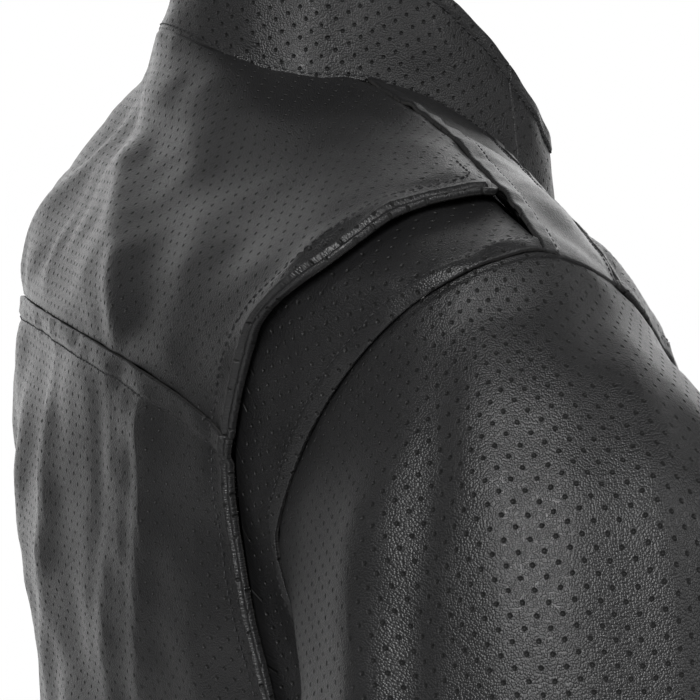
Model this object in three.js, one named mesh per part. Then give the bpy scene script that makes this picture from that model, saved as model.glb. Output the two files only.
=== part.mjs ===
// Leather riding jacket, standing on its hem, front open, action pleats at the back.
// Millimetres, +Z up. The front faces -Y and the wearer's right arm is at -X.
// The leather shell is one smooth body surface. A place on it is an angle round the body
// (0 = centre back, 90 = side, 180 = centre front) and a level (0 = hem, 6 = neck seam).
import * as THREE from 'three';

// ---- driving dimensions -------------------------------------------------------------
const hemHalfWidth = 200;
const waistHalfWidth = 190;
const chestHalfWidth = 212;
const shoulderHalfWidth = 235;
const neckHalfWidth = 60;
const backNeckHeight = 674;
const waistHeight = 185;
const armpitHeight = 400;
const chestHeight = 517;
const shoulderHeight = 603;
const sideNeckHeight = 658;
const frontNeckHeight = 598;

const leather = 2; // outer leather with its backing
const lining = 1.4;
const liningDepth = 13; // from the outer face of the leather to the lining
const padDepth = 3.8; // from the outer face of the leather to a protector
const padThickness = 7;
const seamGap = 0.8; // half of the gap between two panels at a seam
const pleatDepth = 4.2; // how far the pleat's gusset lies below the back panel's edge

const collarHeight = 45;
const collarEndHeight = 30;
const collarThickness = 4.5;

const upperSleeve = 187; // from the middle of the sleeve head's lower edge to the elbow
const forearm = 278;
const elbowGap = 52; // stretch of elbow fabric on each side of the elbow's middle
const headReach = 30; // the sleeve head's middle, outside the chest's side
const headRise = 62; // and above the armpit
const sleeveHeadHalf = 98;
const bicepHalfDepth = 78;
const elbowHalfWidth = 56;
const elbowHalfDepth = 66;
const forearmHalfWidth = 48;
const forearmHalfDepth = 54;
const cuffHalfWidth = 36;
const cuffHalfDepth = 42;
const cuffLength = 26;

const frontGap = 26; // between the two halves of the front zip's teeth
const tapeWidth = 8;
const teethWidth = 3.2;
const teethHeight = 3;

// ---- small helpers ------------------------------------------------------------------
const radians = Math.PI / 180;
const clamp = (value, low, high) => Math.min(high, Math.max(low, value));
const mix = (a, b, share) => a + (b - a) * share;
const smooth = (share) => share * share * (3 - 2 * share);

// A smooth curve through (xs, ys) that never overshoots its points.
function curveThrough(xs, ys) {
  const last = xs.length - 1;
  const step = xs.slice(1).map((x, i) => x - xs[i]);
  const rise = step.map((width, i) => (ys[i + 1] - ys[i]) / width);
  const slope = ys.map((_, i) => {
    if (i === 0) return rise[0];
    if (i === last) return rise[last - 1];
    if (rise[i - 1] * rise[i] <= 0) return 0;
    const before = 2 * step[i] + step[i - 1];
    const after = step[i] + 2 * step[i - 1];
    return (before + after) / (before / rise[i - 1] + after / rise[i]);
  });
  return (x) => {
    const at = clamp(x, xs[0], xs[last]);
    let i = 0;
    while (i < last - 1 && at > xs[i + 1]) i += 1;
    const share = (at - xs[i]) / step[i];
    const square = share * share;
    const cube = square * share;
    return (
      (2 * cube - 3 * square + 1) * ys[i] +
      (cube - 2 * square + share) * step[i] * slope[i] +
      (3 * square - 2 * cube) * ys[i + 1] +
      (cube - square) * step[i] * slope[i + 1]
    );
  };
}

// ---- the body surface ---------------------------------------------------------------
const levels = [0, 1, 2, 3, 4, 5, 6];
const body = {
  halfWidth: curveThrough(levels, [
    hemHalfWidth, waistHalfWidth, mix(waistHalfWidth, chestHalfWidth, 0.6),
    chestHalfWidth, shoulderHalfWidth, mix(neckHalfWidth, shoulderHalfWidth, 0.51), neckHalfWidth,
  ]),
  front: curveThrough(levels, [130, 133, 134, 129, 100, 90, 100]),
  back: curveThrough(levels, [118, 106, 105, 109, 102, 70, 46]),
  middle: curveThrough(levels, [0, 0, -3, -1, 2, 4, 15]),
  sideZ: curveThrough(levels, [
    0, waistHeight, armpitHeight, chestHeight, shoulderHeight,
    mix(shoulderHeight, sideNeckHeight, 0.65), sideNeckHeight,
  ]),
  frontZ: curveThrough(levels, [
    0, waistHeight, armpitHeight, chestHeight - 29, shoulderHeight - 56,
    frontNeckHeight - 28, frontNeckHeight,
  ]),
  backZ: curveThrough(levels, [
    0, waistHeight, armpitHeight, chestHeight - 15, shoulderHeight - 23,
    backNeckHeight - 39, backNeckHeight,
  ]),
};

// side is -1 for the wearer's right half and 1 for the left half
function bodySkin(side, angle, level) {
  const sine = Math.sin(angle * radians);
  const cosine = Math.cos(angle * radians);
  const reach = cosine > 0 ? body.back(level) : body.front(level);
  const crown = cosine > 0 ? body.backZ(level) : body.frontZ(level);
  return new THREE.Vector3(
    side * body.halfWidth(level) * sine,
    body.middle(level) + reach * cosine,
    body.sideZ(level) * sine * sine + crown * cosine * cosine,
  );
}

function bodyNormal(side, angle, level) {
  const across = bodySkin(side, angle + 1, level).sub(bodySkin(side, angle - 1, level));
  const high = bodySkin(side, angle, Math.min(level + 0.05, 6));
  const up = high.sub(bodySkin(side, angle, Math.max(level - 0.05, 0)));
  const normal = up.cross(across).multiplyScalar(side);
  normal.z *= smooth(clamp(level / 0.6, 0, 1)); // the hem's underside stays level
  return normal.normalize();
}

function bodyPoint(side, angle, level, depth = 0) {
  return bodySkin(side, angle, level).addScaledVector(bodyNormal(side, angle, level), -depth);
}

// ---- seam lines on the body ---------------------------------------------------------
// Free edge of the back panel over the action pleat, from the shoulder strip to the side.
const pleatTop = { angle: 98, level: 4.62 };
const pleatEnd = { angle: 60, level: 1.75 };
const pleatSteps = [0, 0.12, 0.25, 0.42, 0.58, 0.72, 0.86, 1];
const pleatAngle = curveThrough(pleatSteps, [pleatTop.angle, 78, 64, 51, 48.5, 52, 57, pleatEnd.angle]);
const pleatLevels = [pleatTop.level, 4.5, 4.24, 3.82, 3.38, 2.85, 2.3, pleatEnd.level];
const pleatLevel = curveThrough(pleatSteps, pleatLevels);
const pleatEdge = (share) => ({ angle: pleatAngle(share), level: pleatLevel(share) });
const yokeCorner = 0.57; // where the yoke seam meets the pleat's edge
const yokeLevel = 3.9; // yoke seam at centre back

// Armhole seam, 0 at the top, 90 at the back, 180 at the armpit and 270 at the front.
const armhole = { angle: 102, backReach: 46, frontReach: 42, bend: 8, level: 3.07, rise: 1.15 };
function armholeSeam(turn) {
  const sine = Math.sin(turn * radians);
  const cosine = Math.cos(turn * radians);
  const back = armhole.backReach - armhole.bend * Math.abs(cosine);
  const reach = (sine > 0 ? back : armhole.frontReach) * sine;
  return { angle: armhole.angle - reach, level: armhole.level + armhole.rise * cosine };
}
const stripWidthTurn = (armhole.angle - pleatTop.angle) / (armhole.backReach - armhole.bend);
const stripBackTurn = Math.asin(stripWidthTurn) / radians; // where the shoulder strip meets the armhole
const stripFrontTurn = -20;
const armpitBackTurn = 150;
const armpitFrontTurn = 215;

// Seam between the fixed side of the front and the edge that folds open.
const foldAngle = curveThrough(levels, [149, 150, 153, 152, 148, 148, 150]);
// Side seam on the front, from the armpit to the hem.
const sideSeamAngle = 120;
const backEdgeAngle = curveThrough([0, 1, pleatEnd.level], [63, 60.5, pleatEnd.angle]);

// ---- solids from patches ------------------------------------------------------------
// point(u, v, depth) gives a place for u and v in 0..1; the solid lies between two depths.
function sheet(point, columns, rows, from, to, gapU, gapLow = gapU, gapHigh = gapLow) {
  const vertices = [];
  const faces = [];
  const width = columns + 1;
  const layer = width * (rows + 1);
  for (const depth of [from, to]) {
    for (let row = 0; row <= rows; row += 1) {
      for (let column = 0; column <= columns; column += 1) {
        const u = mix(gapU, 1 - gapU, column / columns);
        const v = mix(gapLow, 1 - gapHigh, row / rows);
        vertices.push(point(u, v, depth));
      }
    }
  }
  const quad = (a, b, c, d) => faces.push([a, b, c], [a, c, d]);
  for (let row = 0; row < rows; row += 1) {
    for (let column = 0; column < columns; column += 1) {
      const a = row * width + column;
      quad(a, a + 1, a + width + 1, a + width);
      quad(layer + a, layer + a + width, layer + a + width + 1, layer + a + 1);
    }
  }
  for (let column = 0; column < columns; column += 1) {
    const top = rows * width + column;
    quad(column, layer + column, layer + column + 1, column + 1);
    quad(top, top + 1, layer + top + 1, layer + top);
  }
  for (let row = 0; row < rows; row += 1) {
    const left = row * width;
    const right = left + columns;
    quad(left, left + width, layer + left + width, layer + left);
    quad(right, layer + right, layer + right + width, right + width);
  }
  return solidFrom(vertices, faces);
}

// A closed band round a sleeve or limb: point(turn, v, depth), turn in degrees.
function band(point, columns, rows, from, to, gapV) {
  const vertices = [];
  const faces = [];
  const layer = columns * (rows + 1);
  for (const depth of [from, to]) {
    for (let row = 0; row <= rows; row += 1) {
      const v = mix(gapV, 1 - gapV, row / rows);
      for (let column = 0; column < columns; column += 1) {
        vertices.push(point((360 * column) / columns, v, depth));
      }
    }
  }
  const quad = (a, b, c, d) => faces.push([a, b, c], [a, c, d]);
  for (let column = 0; column < columns; column += 1) {
    const next = (column + 1) % columns;
    for (let row = 0; row < rows; row += 1) {
      const a = row * columns + column;
      const b = row * columns + next;
      quad(a, b, b + columns, a + columns);
      quad(layer + a, layer + a + columns, layer + b + columns, layer + b);
    }
    const top = rows * columns;
    quad(column, layer + column, layer + next, next);
    quad(top + column, top + next, layer + top + next, layer + top + column);
  }
  return solidFrom(vertices, faces);
}

// Builds the geometry and turns its faces outward.
function solidFrom(vertices, faces) {
  let volume = 0;
  for (const [a, b, c] of faces) {
    volume += vertices[a].dot(new THREE.Vector3().crossVectors(vertices[b], vertices[c]));
  }
  const geometry = new THREE.BufferGeometry();
  const ordered = volume < 0 ? faces.map(([a, b, c]) => [a, c, b]) : faces;
  const numbers = vertices.flatMap((p) => p.toArray());
  geometry.setAttribute('position', new THREE.Float32BufferAttribute(numbers, 3));
  geometry.setIndex(ordered.flat());
  geometry.computeVertexNormals();
  return geometry;
}

// ---- materials ----------------------------------------------------------------------
const finish = (color, roughness, metalness) => () =>
  new THREE.MeshStandardMaterial({ color, roughness, metalness });
const blackLeather = finish(0x1c1c1d, 0.5, 0);
const smoothLeather = finish(0x151516, 0.4, 0);
const liningCloth = finish(0x232326, 0.85, 0);
const padFoam = finish(0x2f3133, 0.9, 0);
const zipTape = finish(0x121213, 0.9, 0);
const darkMetal = finish(0x3b3c3f, 0.3, 0.9);

const jacket = new THREE.Group();
function add(name, geometry, material) {
  const mesh = new THREE.Mesh(geometry, material());
  mesh.name = name;
  jacket.add(mesh);
  return mesh;
}
const sides = [
  { side: -1, name: 'right' },
  { side: 1, name: 'left' },
];

// ---- back: yoke and lower panel -----------------------------------------------------
// The yoke's side edge runs up the pleat's edge and then along the shoulder strip.
const yokeShoulder = 0.6;
function yokeSide(share) {
  if (share < yokeShoulder) return pleatEdge(yokeCorner * (1 - share / yokeShoulder));
  const rise = (share - yokeShoulder) / (1 - yokeShoulder);
  return { angle: pleatTop.angle, level: mix(pleatTop.level, 6, rise) };
}
function acrossBack(u, edge, centreLevel, depth) {
  const across = 2 * u - 1;
  const level = centreLevel + (edge.level - centreLevel) * across * across;
  return bodyPoint(across < 0 ? -1 : 1, Math.abs(across) * edge.angle, level, depth);
}
function yokePoint(u, v, depth) {
  return acrossBack(u, yokeSide(v), mix(yokeLevel, 6, v), depth);
}
function backPanelSide(share) {
  const split = 0.5;
  if (share > split) return pleatEdge(mix(1, yokeCorner, (share - split) / (1 - split)));
  const level = pleatEnd.level * (share / split);
  return { angle: backEdgeAngle(level), level };
}
function backPanelPoint(u, v, depth) {
  return acrossBack(u, backPanelSide(v), yokeLevel * v, depth);
}
add('back_yoke', sheet(yokePoint, 14, 10, 0, leather, 0.002, 0.004), blackLeather);
add('back_panel', sheet(backPanelPoint, 12, 12, 0, leather, 0.003, 0, 0.0015), blackLeather);

// ---- shoulders, pleats and sides ----------------------------------------------------
const onBody = (side, place, depth) => bodyPoint(side, place.angle, place.level, depth);
function mixPlace(a, b, share) {
  return { angle: mix(a.angle, b.angle, share), level: mix(a.level, b.level, share) };
}

const stripBack = (share) => mixPlace(armholeSeam(stripBackTurn), { angle: pleatTop.angle, level: 6 }, share);
const stripFront = (share) => mixPlace(armholeSeam(stripFrontTurn), { angle: 126, level: 6 }, share);

function gussetPoint(side, u, v, depth) {
  const seam = armholeSeam(mix(armpitBackTurn, stripBackTurn, v));
  const place = mixPlace(pleatEdge(1 - v), seam, u);
  return onBody(side, place, depth + pleatDepth * (1 - smooth(u)));
}
// The side panel hangs from the pleat's lower end and the bottom of the armhole.
function sidePanelTop(u) {
  const corner = 0.28;
  if (u < corner) return mixPlace(pleatEdge(1), armholeSeam(armpitBackTurn), u / corner);
  return armholeSeam(mix(armpitBackTurn, armpitFrontTurn, (u - corner) / (1 - corner)));
}
function sidePanelPoint(side, u, v, depth) {
  const top = sidePanelTop(u);
  const level = top.level * v;
  const fromBack = backEdgeAngle(level);
  const straight = mix(fromBack, sideSeamAngle, u);
  return bodyPoint(side, mix(straight, top.angle, smooth(v)), level, depth);
}
// The fixed side of the front, from the side seam round the armhole to the fold line.
function frontSideInner(share) {
  const split = 0.42;
  const foot = armholeSeam(armpitFrontTurn);
  if (share < split) {
    const level = foot.level * (share / split);
    const seam = mix(sideSeamAngle, foot.angle, smooth(share / split));
    return { angle: seam, level };
  }
  const collarStart = 0.86;
  if (share < collarStart) {
    const turn = mix(armpitFrontTurn, 360 + stripFrontTurn, (share - split) / (collarStart - split));
    return armholeSeam(turn);
  }
  return stripFront((share - collarStart) / (1 - collarStart));
}
function frontSidePoint(side, u, v, depth) {
  const inner = frontSideInner(v);
  const outer = { angle: 0, level: 6 * v };
  outer.angle = foldAngle(outer.level);
  return onBody(side, mixPlace(inner, outer, u), depth);
}
const stripPoint = (side, u, v, depth) => onBody(side, mixPlace(stripBack(v), stripFront(v), u), depth);

// ---- front edges that fold open ------------------------------------------------------
// reach is the distance of the edge from the middle of the jacket
function edgeAngle(level, reach) {
  return 180 - Math.asin(reach / body.halfWidth(level)) / radians;
}
const teethEdge = frontGap / 2;
const tapeEdge = teethEdge + teethWidth + 0.6;
const leatherEdge = tapeEdge + tapeWidth;
function frontPanelPoint(side, u, v, depth) {
  const level = 6 * v;
  return bodyPoint(side, mix(foldAngle(level), edgeAngle(level, leatherEdge), u), level, depth);
}
const stripBetween = (low, high, first, last) => (side, u, v, depth) => {
  const level = mix(first, last, v);
  return bodyPoint(side, mix(edgeAngle(level, high), edgeAngle(level, low), u), level, depth);
};

// ---- collar -------------------------------------------------------------------------
function collarPoint(side, angle, rise, depth) {
  const foot = bodyPoint(side, angle, 6, 0);
  const inward = new THREE.Vector3(-foot.x, body.middle(6) - foot.y, 0).normalize();
  const frontness = smooth(clamp((angle - 100) / 75, 0, 1));
  const height = mix(collarHeight, collarEndHeight, frontness);
  const lean = 0.12 + 0.22 * Math.max(0, Math.cos(angle * radians));
  foot.z += seamGap + rise * height;
  return foot.addScaledVector(inward, rise * height * lean + depth);
}
const collarJoin = 138; // the front ends of the collar fold open with the fronts
const collarEnd = edgeAngle(6, tapeEdge + 2);

for (const { side, name } of sides) {
  const gusset = sheet((u, v, d) => gussetPoint(side, u, v, d), 3, 12, 0, leather, 0.025, 0.006);
  add(`gusset_${name}`, gusset, blackLeather);
  const flank = (u, v, d) => sidePanelPoint(side, u, v, d);
  add(`side_panel_${name}`, sheet(flank, 8, 6, 0, leather, 0.012, 0, 0.006), blackLeather);
  const strip = sheet((u, v, d) => stripPoint(side, u, v, d), 3, 5, 0, leather, 0.02, 0.01);
  add(`shoulder_strip_${name}`, strip, smoothLeather);
  const frontSide = (u, v, d) => frontSidePoint(side, u, v, d);
  add(`front_side_${name}`, sheet(frontSide, 4, 16, 0, leather, 0.02, 0, 0.0015), blackLeather);
  const frontPanel = (u, v, d) => frontPanelPoint(side, u, v, d);
  add(`front_panel_${name}`, sheet(frontPanel, 4, 14, 0, leather, 0.012, 0, 0.0015), blackLeather);

  const tape = stripBetween(tapeEdge, leatherEdge, 0.12, 5.9);
  add(`zip_tape_${name}`, sheet((u, v, d) => tape(side, u, v, d), 1, 14, 0.6, 1.8, 0.04, 0), zipTape);
  const teeth = stripBetween(teethEdge, teethEdge + teethWidth, 0.16, 5.86);
  const row = sheet((u, v, d) => teeth(side, u, v, d), 1, 14, -0.3, teethHeight - 0.3, 0, 0);
  add(`zip_teeth_${name}`, row, darkMetal);
}

function collarBack(u, v, depth) {
  const across = 2 * u - 1;
  return collarPoint(across < 0 ? -1 : 1, Math.abs(across) * collarJoin, v, depth);
}
add('collar_back', sheet(collarBack, 16, 2, 0, collarThickness, 0.002, 0), blackLeather);
for (const { side, name } of sides) {
  const end = (u, v, depth) => collarPoint(side, mix(collarJoin, collarEnd, u), v, depth);
  add(`collar_front_${name}`, sheet(end, 4, 2, 0, collarThickness, 0.03, 0), blackLeather);
}

// ---- inside: lining, back protector, label and loop ---------------------------------
const liningTop = 5.8;
// The lining's edges run clear of the armholes.
function backLining(u, v, depth) {
  const across = 2 * u - 1;
  const level = mix(0.12, liningTop, v);
  const pleat = level > armhole.level - armhole.rise ? 44 : 60;
  const rise = smooth(clamp((level - 1.6) / 0.8, 0, 1)) * (1 - smooth(clamp((level - 4.3) / 0.5, 0, 1)));
  const edge = mix(88, pleat, rise);
  return bodyPoint(across < 0 ? -1 : 1, Math.abs(across) * edge, level, depth + liningDepth);
}
add('back_lining', sheet(backLining, 12, 12, 0, lining, 0, 0), liningCloth);
for (const { side, name } of sides) {
  const front = (u, v, depth) => {
    const level = mix(0.12, liningTop, v);
    const rise = smooth(clamp((level - 1.6) / 0.8, 0, 1)) * (1 - smooth(clamp((level - 4.3) / 0.5, 0, 1)));
    return bodyPoint(side, mix(mix(90, 147, rise), foldAngle(level) - 1, u), level, depth + liningDepth);
  };
  add(`side_lining_${name}`, sheet(front, 3, 12, 0, lining, 0, 0), liningCloth);
  const facing = (u, v, depth) => {
    const level = mix(0.12, liningTop, v);
    const angle = mix(foldAngle(level) + 1, edgeAngle(level, leatherEdge + 4), u);
    return bodyPoint(side, angle, level, depth + liningDepth / 2);
  };
  add(`front_lining_${name}`, sheet(facing, 2, 12, 0, lining, 0, 0), liningCloth);
}
function protectorPoint(u, v, depth) {
  const level = mix(1.1, 3.6, v);
  const taper = mix(28, 36, smooth(v));
  const across = (2 * u - 1) * taper;
  return bodyPoint(across < 0 ? -1 : 1, Math.abs(across), level, depth + padDepth);
}
add('back_protector', sheet(protectorPoint, 6, 6, 0, padThickness, 0, 0), padFoam);
const loopDepth = liningDepth + lining + 0.6;
function hangerLoop(u, v, depth) {
  const across = 2 * u - 1;
  const bulge = 7 * (1 - across * across);
  return bodyPoint(across < 0 ? -1 : 1, Math.abs(across) * 24, mix(5.58, 5.68, v), depth + loopDepth + bulge);
}
add('hanger_loop', sheet(hangerLoop, 8, 1, 0, 1.2, 0, 0), smoothLeather);

// ---- sleeves ------------------------------------------------------------------------
// Stations down the sleeve: 0 armhole, 1 sleeve head, 2 above the elbow, 3 below it,
// 4 mid forearm, 5 cuff seam, 6 cuff end.
const headMiddle = new THREE.Vector3(-(chestHalfWidth + headReach), -18, armpitHeight + headRise);
const headOutward = new THREE.Vector3(-0.331, 0, 0.944);
const upperWay = new THREE.Vector3(-0.325, -0.02, -0.946).normalize();
const forearmWay = new THREE.Vector3(-0.22, -0.47, -0.855).normalize();
const elbow = headMiddle.clone().addScaledVector(upperWay, upperSleeve);
const backward = new THREE.Vector3(0, 1, 0);

function station(middle, way, halfWidth, halfDepth, outward) {
  const back = backward.clone().addScaledVector(way, -backward.dot(way)).normalize();
  const out = outward ?? new THREE.Vector3().crossVectors(back, way).normalize();
  return { middle, out: out.clone().multiplyScalar(halfWidth), back: back.multiplyScalar(halfDepth) };
}
const along = (way, distance) => elbow.clone().addScaledVector(way, distance);
const stations = [
  null,
  station(headMiddle, upperWay, sleeveHeadHalf, bicepHalfDepth, headOutward),
  station(along(upperWay, -elbowGap), upperWay, elbowHalfWidth, elbowHalfDepth),
  station(along(forearmWay, elbowGap), forearmWay, elbowHalfWidth - 2, elbowHalfDepth - 3),
  station(along(forearmWay, 0.53 * forearm), forearmWay, forearmHalfWidth, forearmHalfDepth),
  station(along(forearmWay, forearm - cuffLength), forearmWay, cuffHalfWidth + 1, cuffHalfDepth + 1),
  station(along(forearmWay, forearm), forearmWay, cuffHalfWidth, cuffHalfDepth),
];
const stationNumbers = [0, 1, 2, 3, 4, 5, 6];

function stationPoint(index, turn, depth) {
  if (index === 0) return onBody(-1, armholeSeam(turn > 180 ? turn - 360 : turn), depth);
  const { middle, out, back } = stations[index];
  const shrinkOut = 1 - depth / out.length();
  const shrinkBack = 1 - depth / back.length();
  return middle.clone()
    .addScaledVector(out, Math.cos(turn * radians) * shrinkOut)
    .addScaledVector(back, Math.sin(turn * radians) * shrinkBack);
}
const sleeveCache = new Map();
function sleevePoint(side, turn, place, depth) {
  const key = `${turn.toFixed(4)} ${depth.toFixed(3)}`;
  if (!sleeveCache.has(key)) {
    const points = stationNumbers.map((index) => stationPoint(index, turn, depth));
    const axes = ['x', 'y', 'z'];
    sleeveCache.set(key, axes.map((axis) => curveThrough(stationNumbers, points.map((p) => p[axis]))));
  }
  const [x, y, z] = sleeveCache.get(key);
  return new THREE.Vector3(-side * x(place), y(place), z(place));
}

const sleeveSeamBack = 128; // seams between the top sleeve and the under sleeve
const sleeveSeamFront = 222;
const headStart = 0.035;
const elbowPadTurn = 90;
const elbowPadHalf = 42;
const shoulderPadHalf = 48;

for (const { side, name } of sides) {
  const tube = (from, to) => (turn, v, depth) => sleevePoint(side, turn, mix(from, to, v), depth);
  const part = (first, last, from, to) => (u, v, depth) =>
    sleevePoint(side, mix(first, last, u), mix(from, to, v), depth);
  const top = [sleeveSeamFront - 360, sleeveSeamBack];
  const under = [sleeveSeamBack, sleeveSeamFront];

  add(`sleeve_head_${name}`, band(tube(headStart, 0.99), 26, 3, 0, leather, 0), blackLeather);
  add(`sleeve_top_${name}`, sheet(part(...top, 1.01, 1.99), 14, 6, 0, leather, 0.003, 0), blackLeather);
  add(`sleeve_under_${name}`, sheet(part(...under, 1.01, 1.99), 6, 6, 0, leather, 0.008, 0), blackLeather);
  const shoulderPad = part(-shoulderPadHalf, shoulderPadHalf, 1.12, 1.6);
  const padInner = padDepth + padThickness;
  add(`shoulder_pad_${name}`, sheet(shoulderPad, 8, 4, padDepth + 1.2, padInner, 0), padFoam);
  add(`elbow_fold_${name}`, band(tube(2.01, 2.99), 20, 3, 0, leather, 0), blackLeather);
  add(`forearm_top_${name}`, sheet(part(...top, 3.01, 4.985), 14, 5, 0, leather, 0.003, 0), blackLeather);
  add(`forearm_under_${name}`, sheet(part(...under, 3.01, 4.985), 6, 5, 0, leather, 0.008, 0), blackLeather);
  const elbowPad = part(elbowPadTurn - elbowPadHalf, elbowPadTurn + elbowPadHalf, 3.08, 3.85);
  add(`elbow_pad_${name}`, sheet(elbowPad, 7, 3, padDepth, padInner, 0), padFoam);
  add(`cuff_${name}`, band(tube(5.01, 6), 18, 1, 0, leather + 1.5, 0), smoothLeather);
}

// ---- zips, sliders and pulls ----------------------------------------------------------
const zipWidth = 15; // a pocket's or cuff's zip with its leather edges
const zipThickness = 2;
const sliderLength = 11;
const sliderWidth = 8;
const sliderHeight = 2.2;
const pullLength = 24;
const pullWidth = 6;
const pullThickness = 1.4;
const slideClearance = 1.5; // slider over the zip, which bends a little under it
const looseFit = 0.5;

// A plate with its length along way and its thickness along out, from low to low + thickness.
function plate(at, out, way, width, length, low, thickness) {
  const shape = new THREE.BoxGeometry(width, length, thickness);
  const across = new THREE.Vector3().crossVectors(way, out).normalize();
  const basis = new THREE.Matrix4().makeBasis(across, way, out);
  const centre = at.clone().addScaledVector(out, low + thickness / 2);
  return shape.applyMatrix4(basis.setPosition(centre));
}
// The slider rides above the zip from start to end, and its pull lies along the zip:
// hang is 1 where the pull points the way the slider travels and -1 where it points back.
function addSlider(name, start, end, out, height, hang) {
  const way = end.clone().sub(start).normalize();
  const level = out.clone().addScaledVector(way, -out.dot(way)).normalize();
  add(`slider_${name}`, plate(start, level, way, sliderWidth, sliderLength, height, sliderHeight), darkMetal);
  const middle = start.clone().addScaledVector(way, (hang * (pullLength - sliderLength)) / 2);
  const above = height + sliderHeight + looseFit;
  add(`pull_${name}`, plate(middle, level, way, pullWidth, pullLength, above, pullThickness), darkMetal);
}

const mainStart = 0.31; // levels of the main slider's rest place and of its highest place
const mainEnd = 1.95;
const teethMiddle = teethEdge + teethWidth / 2;
const onTeeth = (level) => bodySkin(1, edgeAngle(level, teethMiddle), level);
addSlider('main', onTeeth(mainStart), onTeeth(mainEnd), new THREE.Vector3(0, -1, 0), 2.2, -1);

const pocket = { lowAngle: 125, lowLevel: 0.5, highAngle: 138, highLevel: 1.15 };
const cuffZip = { turn: 84, from: 4.3, to: 5.93 };
const tab = { from: 70, to: 104, level: 0.36, width: 28, thickness: 3 };
// Zips and tabs lie further out where the panel under them flares more.
const chestFlare = chestHalfWidth - waistHalfWidth;
const hemFlare = hemHalfWidth - waistHalfWidth;
const pocketLift = Math.max(looseFit, 0.023 * chestFlare, 0.05 * hemFlare);
const tabLift = Math.max(0.6, 0.03 * hemFlare);
for (const { side, name } of sides) {
  const widthAngle = (zipWidth / hemHalfWidth / radians) * 0.7;
  const pocketPlace = (u, v) => ({
    angle: mix(pocket.lowAngle, pocket.highAngle, v) + (u - 0.5) * widthAngle,
    level: mix(pocket.lowLevel, pocket.highLevel, v),
  });
  const pocketZip = (u, v, depth) => onBody(side, pocketPlace(u, v), depth);
  add(`pocket_zip_${name}`, sheet(pocketZip, 2, 6, -zipThickness - pocketLift, -pocketLift, 0), smoothLeather);
  const middle = pocketPlace(0.5, 0.5);
  const pocketOut = bodyNormal(side, middle.angle, middle.level);
  const zipTop = zipThickness + pocketLift + slideClearance;
  addSlider(`pocket_${name}`, pocketZip(0.5, 0.86, 0), pocketZip(0.5, 0.1, 0), pocketOut, zipTop, 1);

  const turnWidth = zipWidth / cuffHalfDepth / radians;
  const cuffPlace = (u, v, depth) =>
    sleevePoint(side, cuffZip.turn + (u - 0.5) * turnWidth, mix(cuffZip.from, cuffZip.to, v), depth);
  add(`cuff_zip_${name}`, sheet(cuffPlace, 2, 5, -zipThickness - looseFit * 2, -looseFit * 2, 0), smoothLeather);
  const zipFoot = cuffPlace(0.5, 0.92, 0);
  const zipHead = cuffPlace(0.5, 0.12, 0);
  const sleeveFar = sleevePoint(side, 180, 5, 0);
  const sleeveMiddle = sleevePoint(side, 0, 5, 0).add(sleeveFar).multiplyScalar(0.5);
  const cuffOut = cuffPlace(0.5, 0.5, 0).sub(sleeveMiddle);
  addSlider(`cuff_${name}`, zipFoot, zipHead, cuffOut, zipTop + 2, -1);

  const tabPoint = (u, v, depth) => {
    const level = tab.level + ((v - 0.5) * tab.width) / waistHeight;
    return bodyPoint(side, mix(tab.from, tab.to, u), level, depth - tabLift);
  };
  add(`waist_tab_${name}`, sheet(tabPoint, 4, 1, -tab.thickness, 0, 0), smoothLeather);
}

// The jacket's box is centred over the origin and stands on the hem.
const bounds = new THREE.Box3().setFromObject(jacket);
jacket.position.y = -(bounds.min.y + bounds.max.y) / 2;
export default jacket;
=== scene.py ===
import math

import bmesh
import bpy
import numpy as np
from mathutils import Matrix, Vector


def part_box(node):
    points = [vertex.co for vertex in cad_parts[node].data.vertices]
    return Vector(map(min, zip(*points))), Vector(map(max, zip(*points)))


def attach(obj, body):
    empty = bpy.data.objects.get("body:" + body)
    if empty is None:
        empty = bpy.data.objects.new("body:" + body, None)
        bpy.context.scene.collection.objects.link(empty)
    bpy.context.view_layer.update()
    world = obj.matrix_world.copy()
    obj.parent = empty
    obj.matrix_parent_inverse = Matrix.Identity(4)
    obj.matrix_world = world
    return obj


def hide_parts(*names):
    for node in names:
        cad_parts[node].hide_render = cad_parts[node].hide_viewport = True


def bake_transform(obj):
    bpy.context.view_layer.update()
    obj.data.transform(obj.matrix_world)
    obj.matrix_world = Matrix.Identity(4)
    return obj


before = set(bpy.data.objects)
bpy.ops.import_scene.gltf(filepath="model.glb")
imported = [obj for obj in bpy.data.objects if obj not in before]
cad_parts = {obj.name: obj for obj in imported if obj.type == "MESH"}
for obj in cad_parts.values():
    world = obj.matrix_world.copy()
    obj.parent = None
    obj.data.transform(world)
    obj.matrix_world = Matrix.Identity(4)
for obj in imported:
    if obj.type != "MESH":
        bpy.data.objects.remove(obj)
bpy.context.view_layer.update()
bpy.ops.object.select_all(action="DESELECT")

# Lengths are in millimetres in the pattern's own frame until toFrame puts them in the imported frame.
hemBackReach = 118
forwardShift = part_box("back_panel")[1].y * 1000 - hemBackReach
sides = [(-1, "right"), (1, "left")]


def toFrame(points):
    return (np.asarray(points, float) + (0, forwardShift, 0)) * 0.001


def mix(a, b, share):
    return a + (b - a) * share


def smooth(share):
    share = np.clip(share, 0, 1)
    return share * share * (3 - 2 * share)


def unit(vectors):
    return vectors / np.maximum(np.linalg.norm(vectors, axis=-1, keepdims=True), 1e-9)


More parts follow.
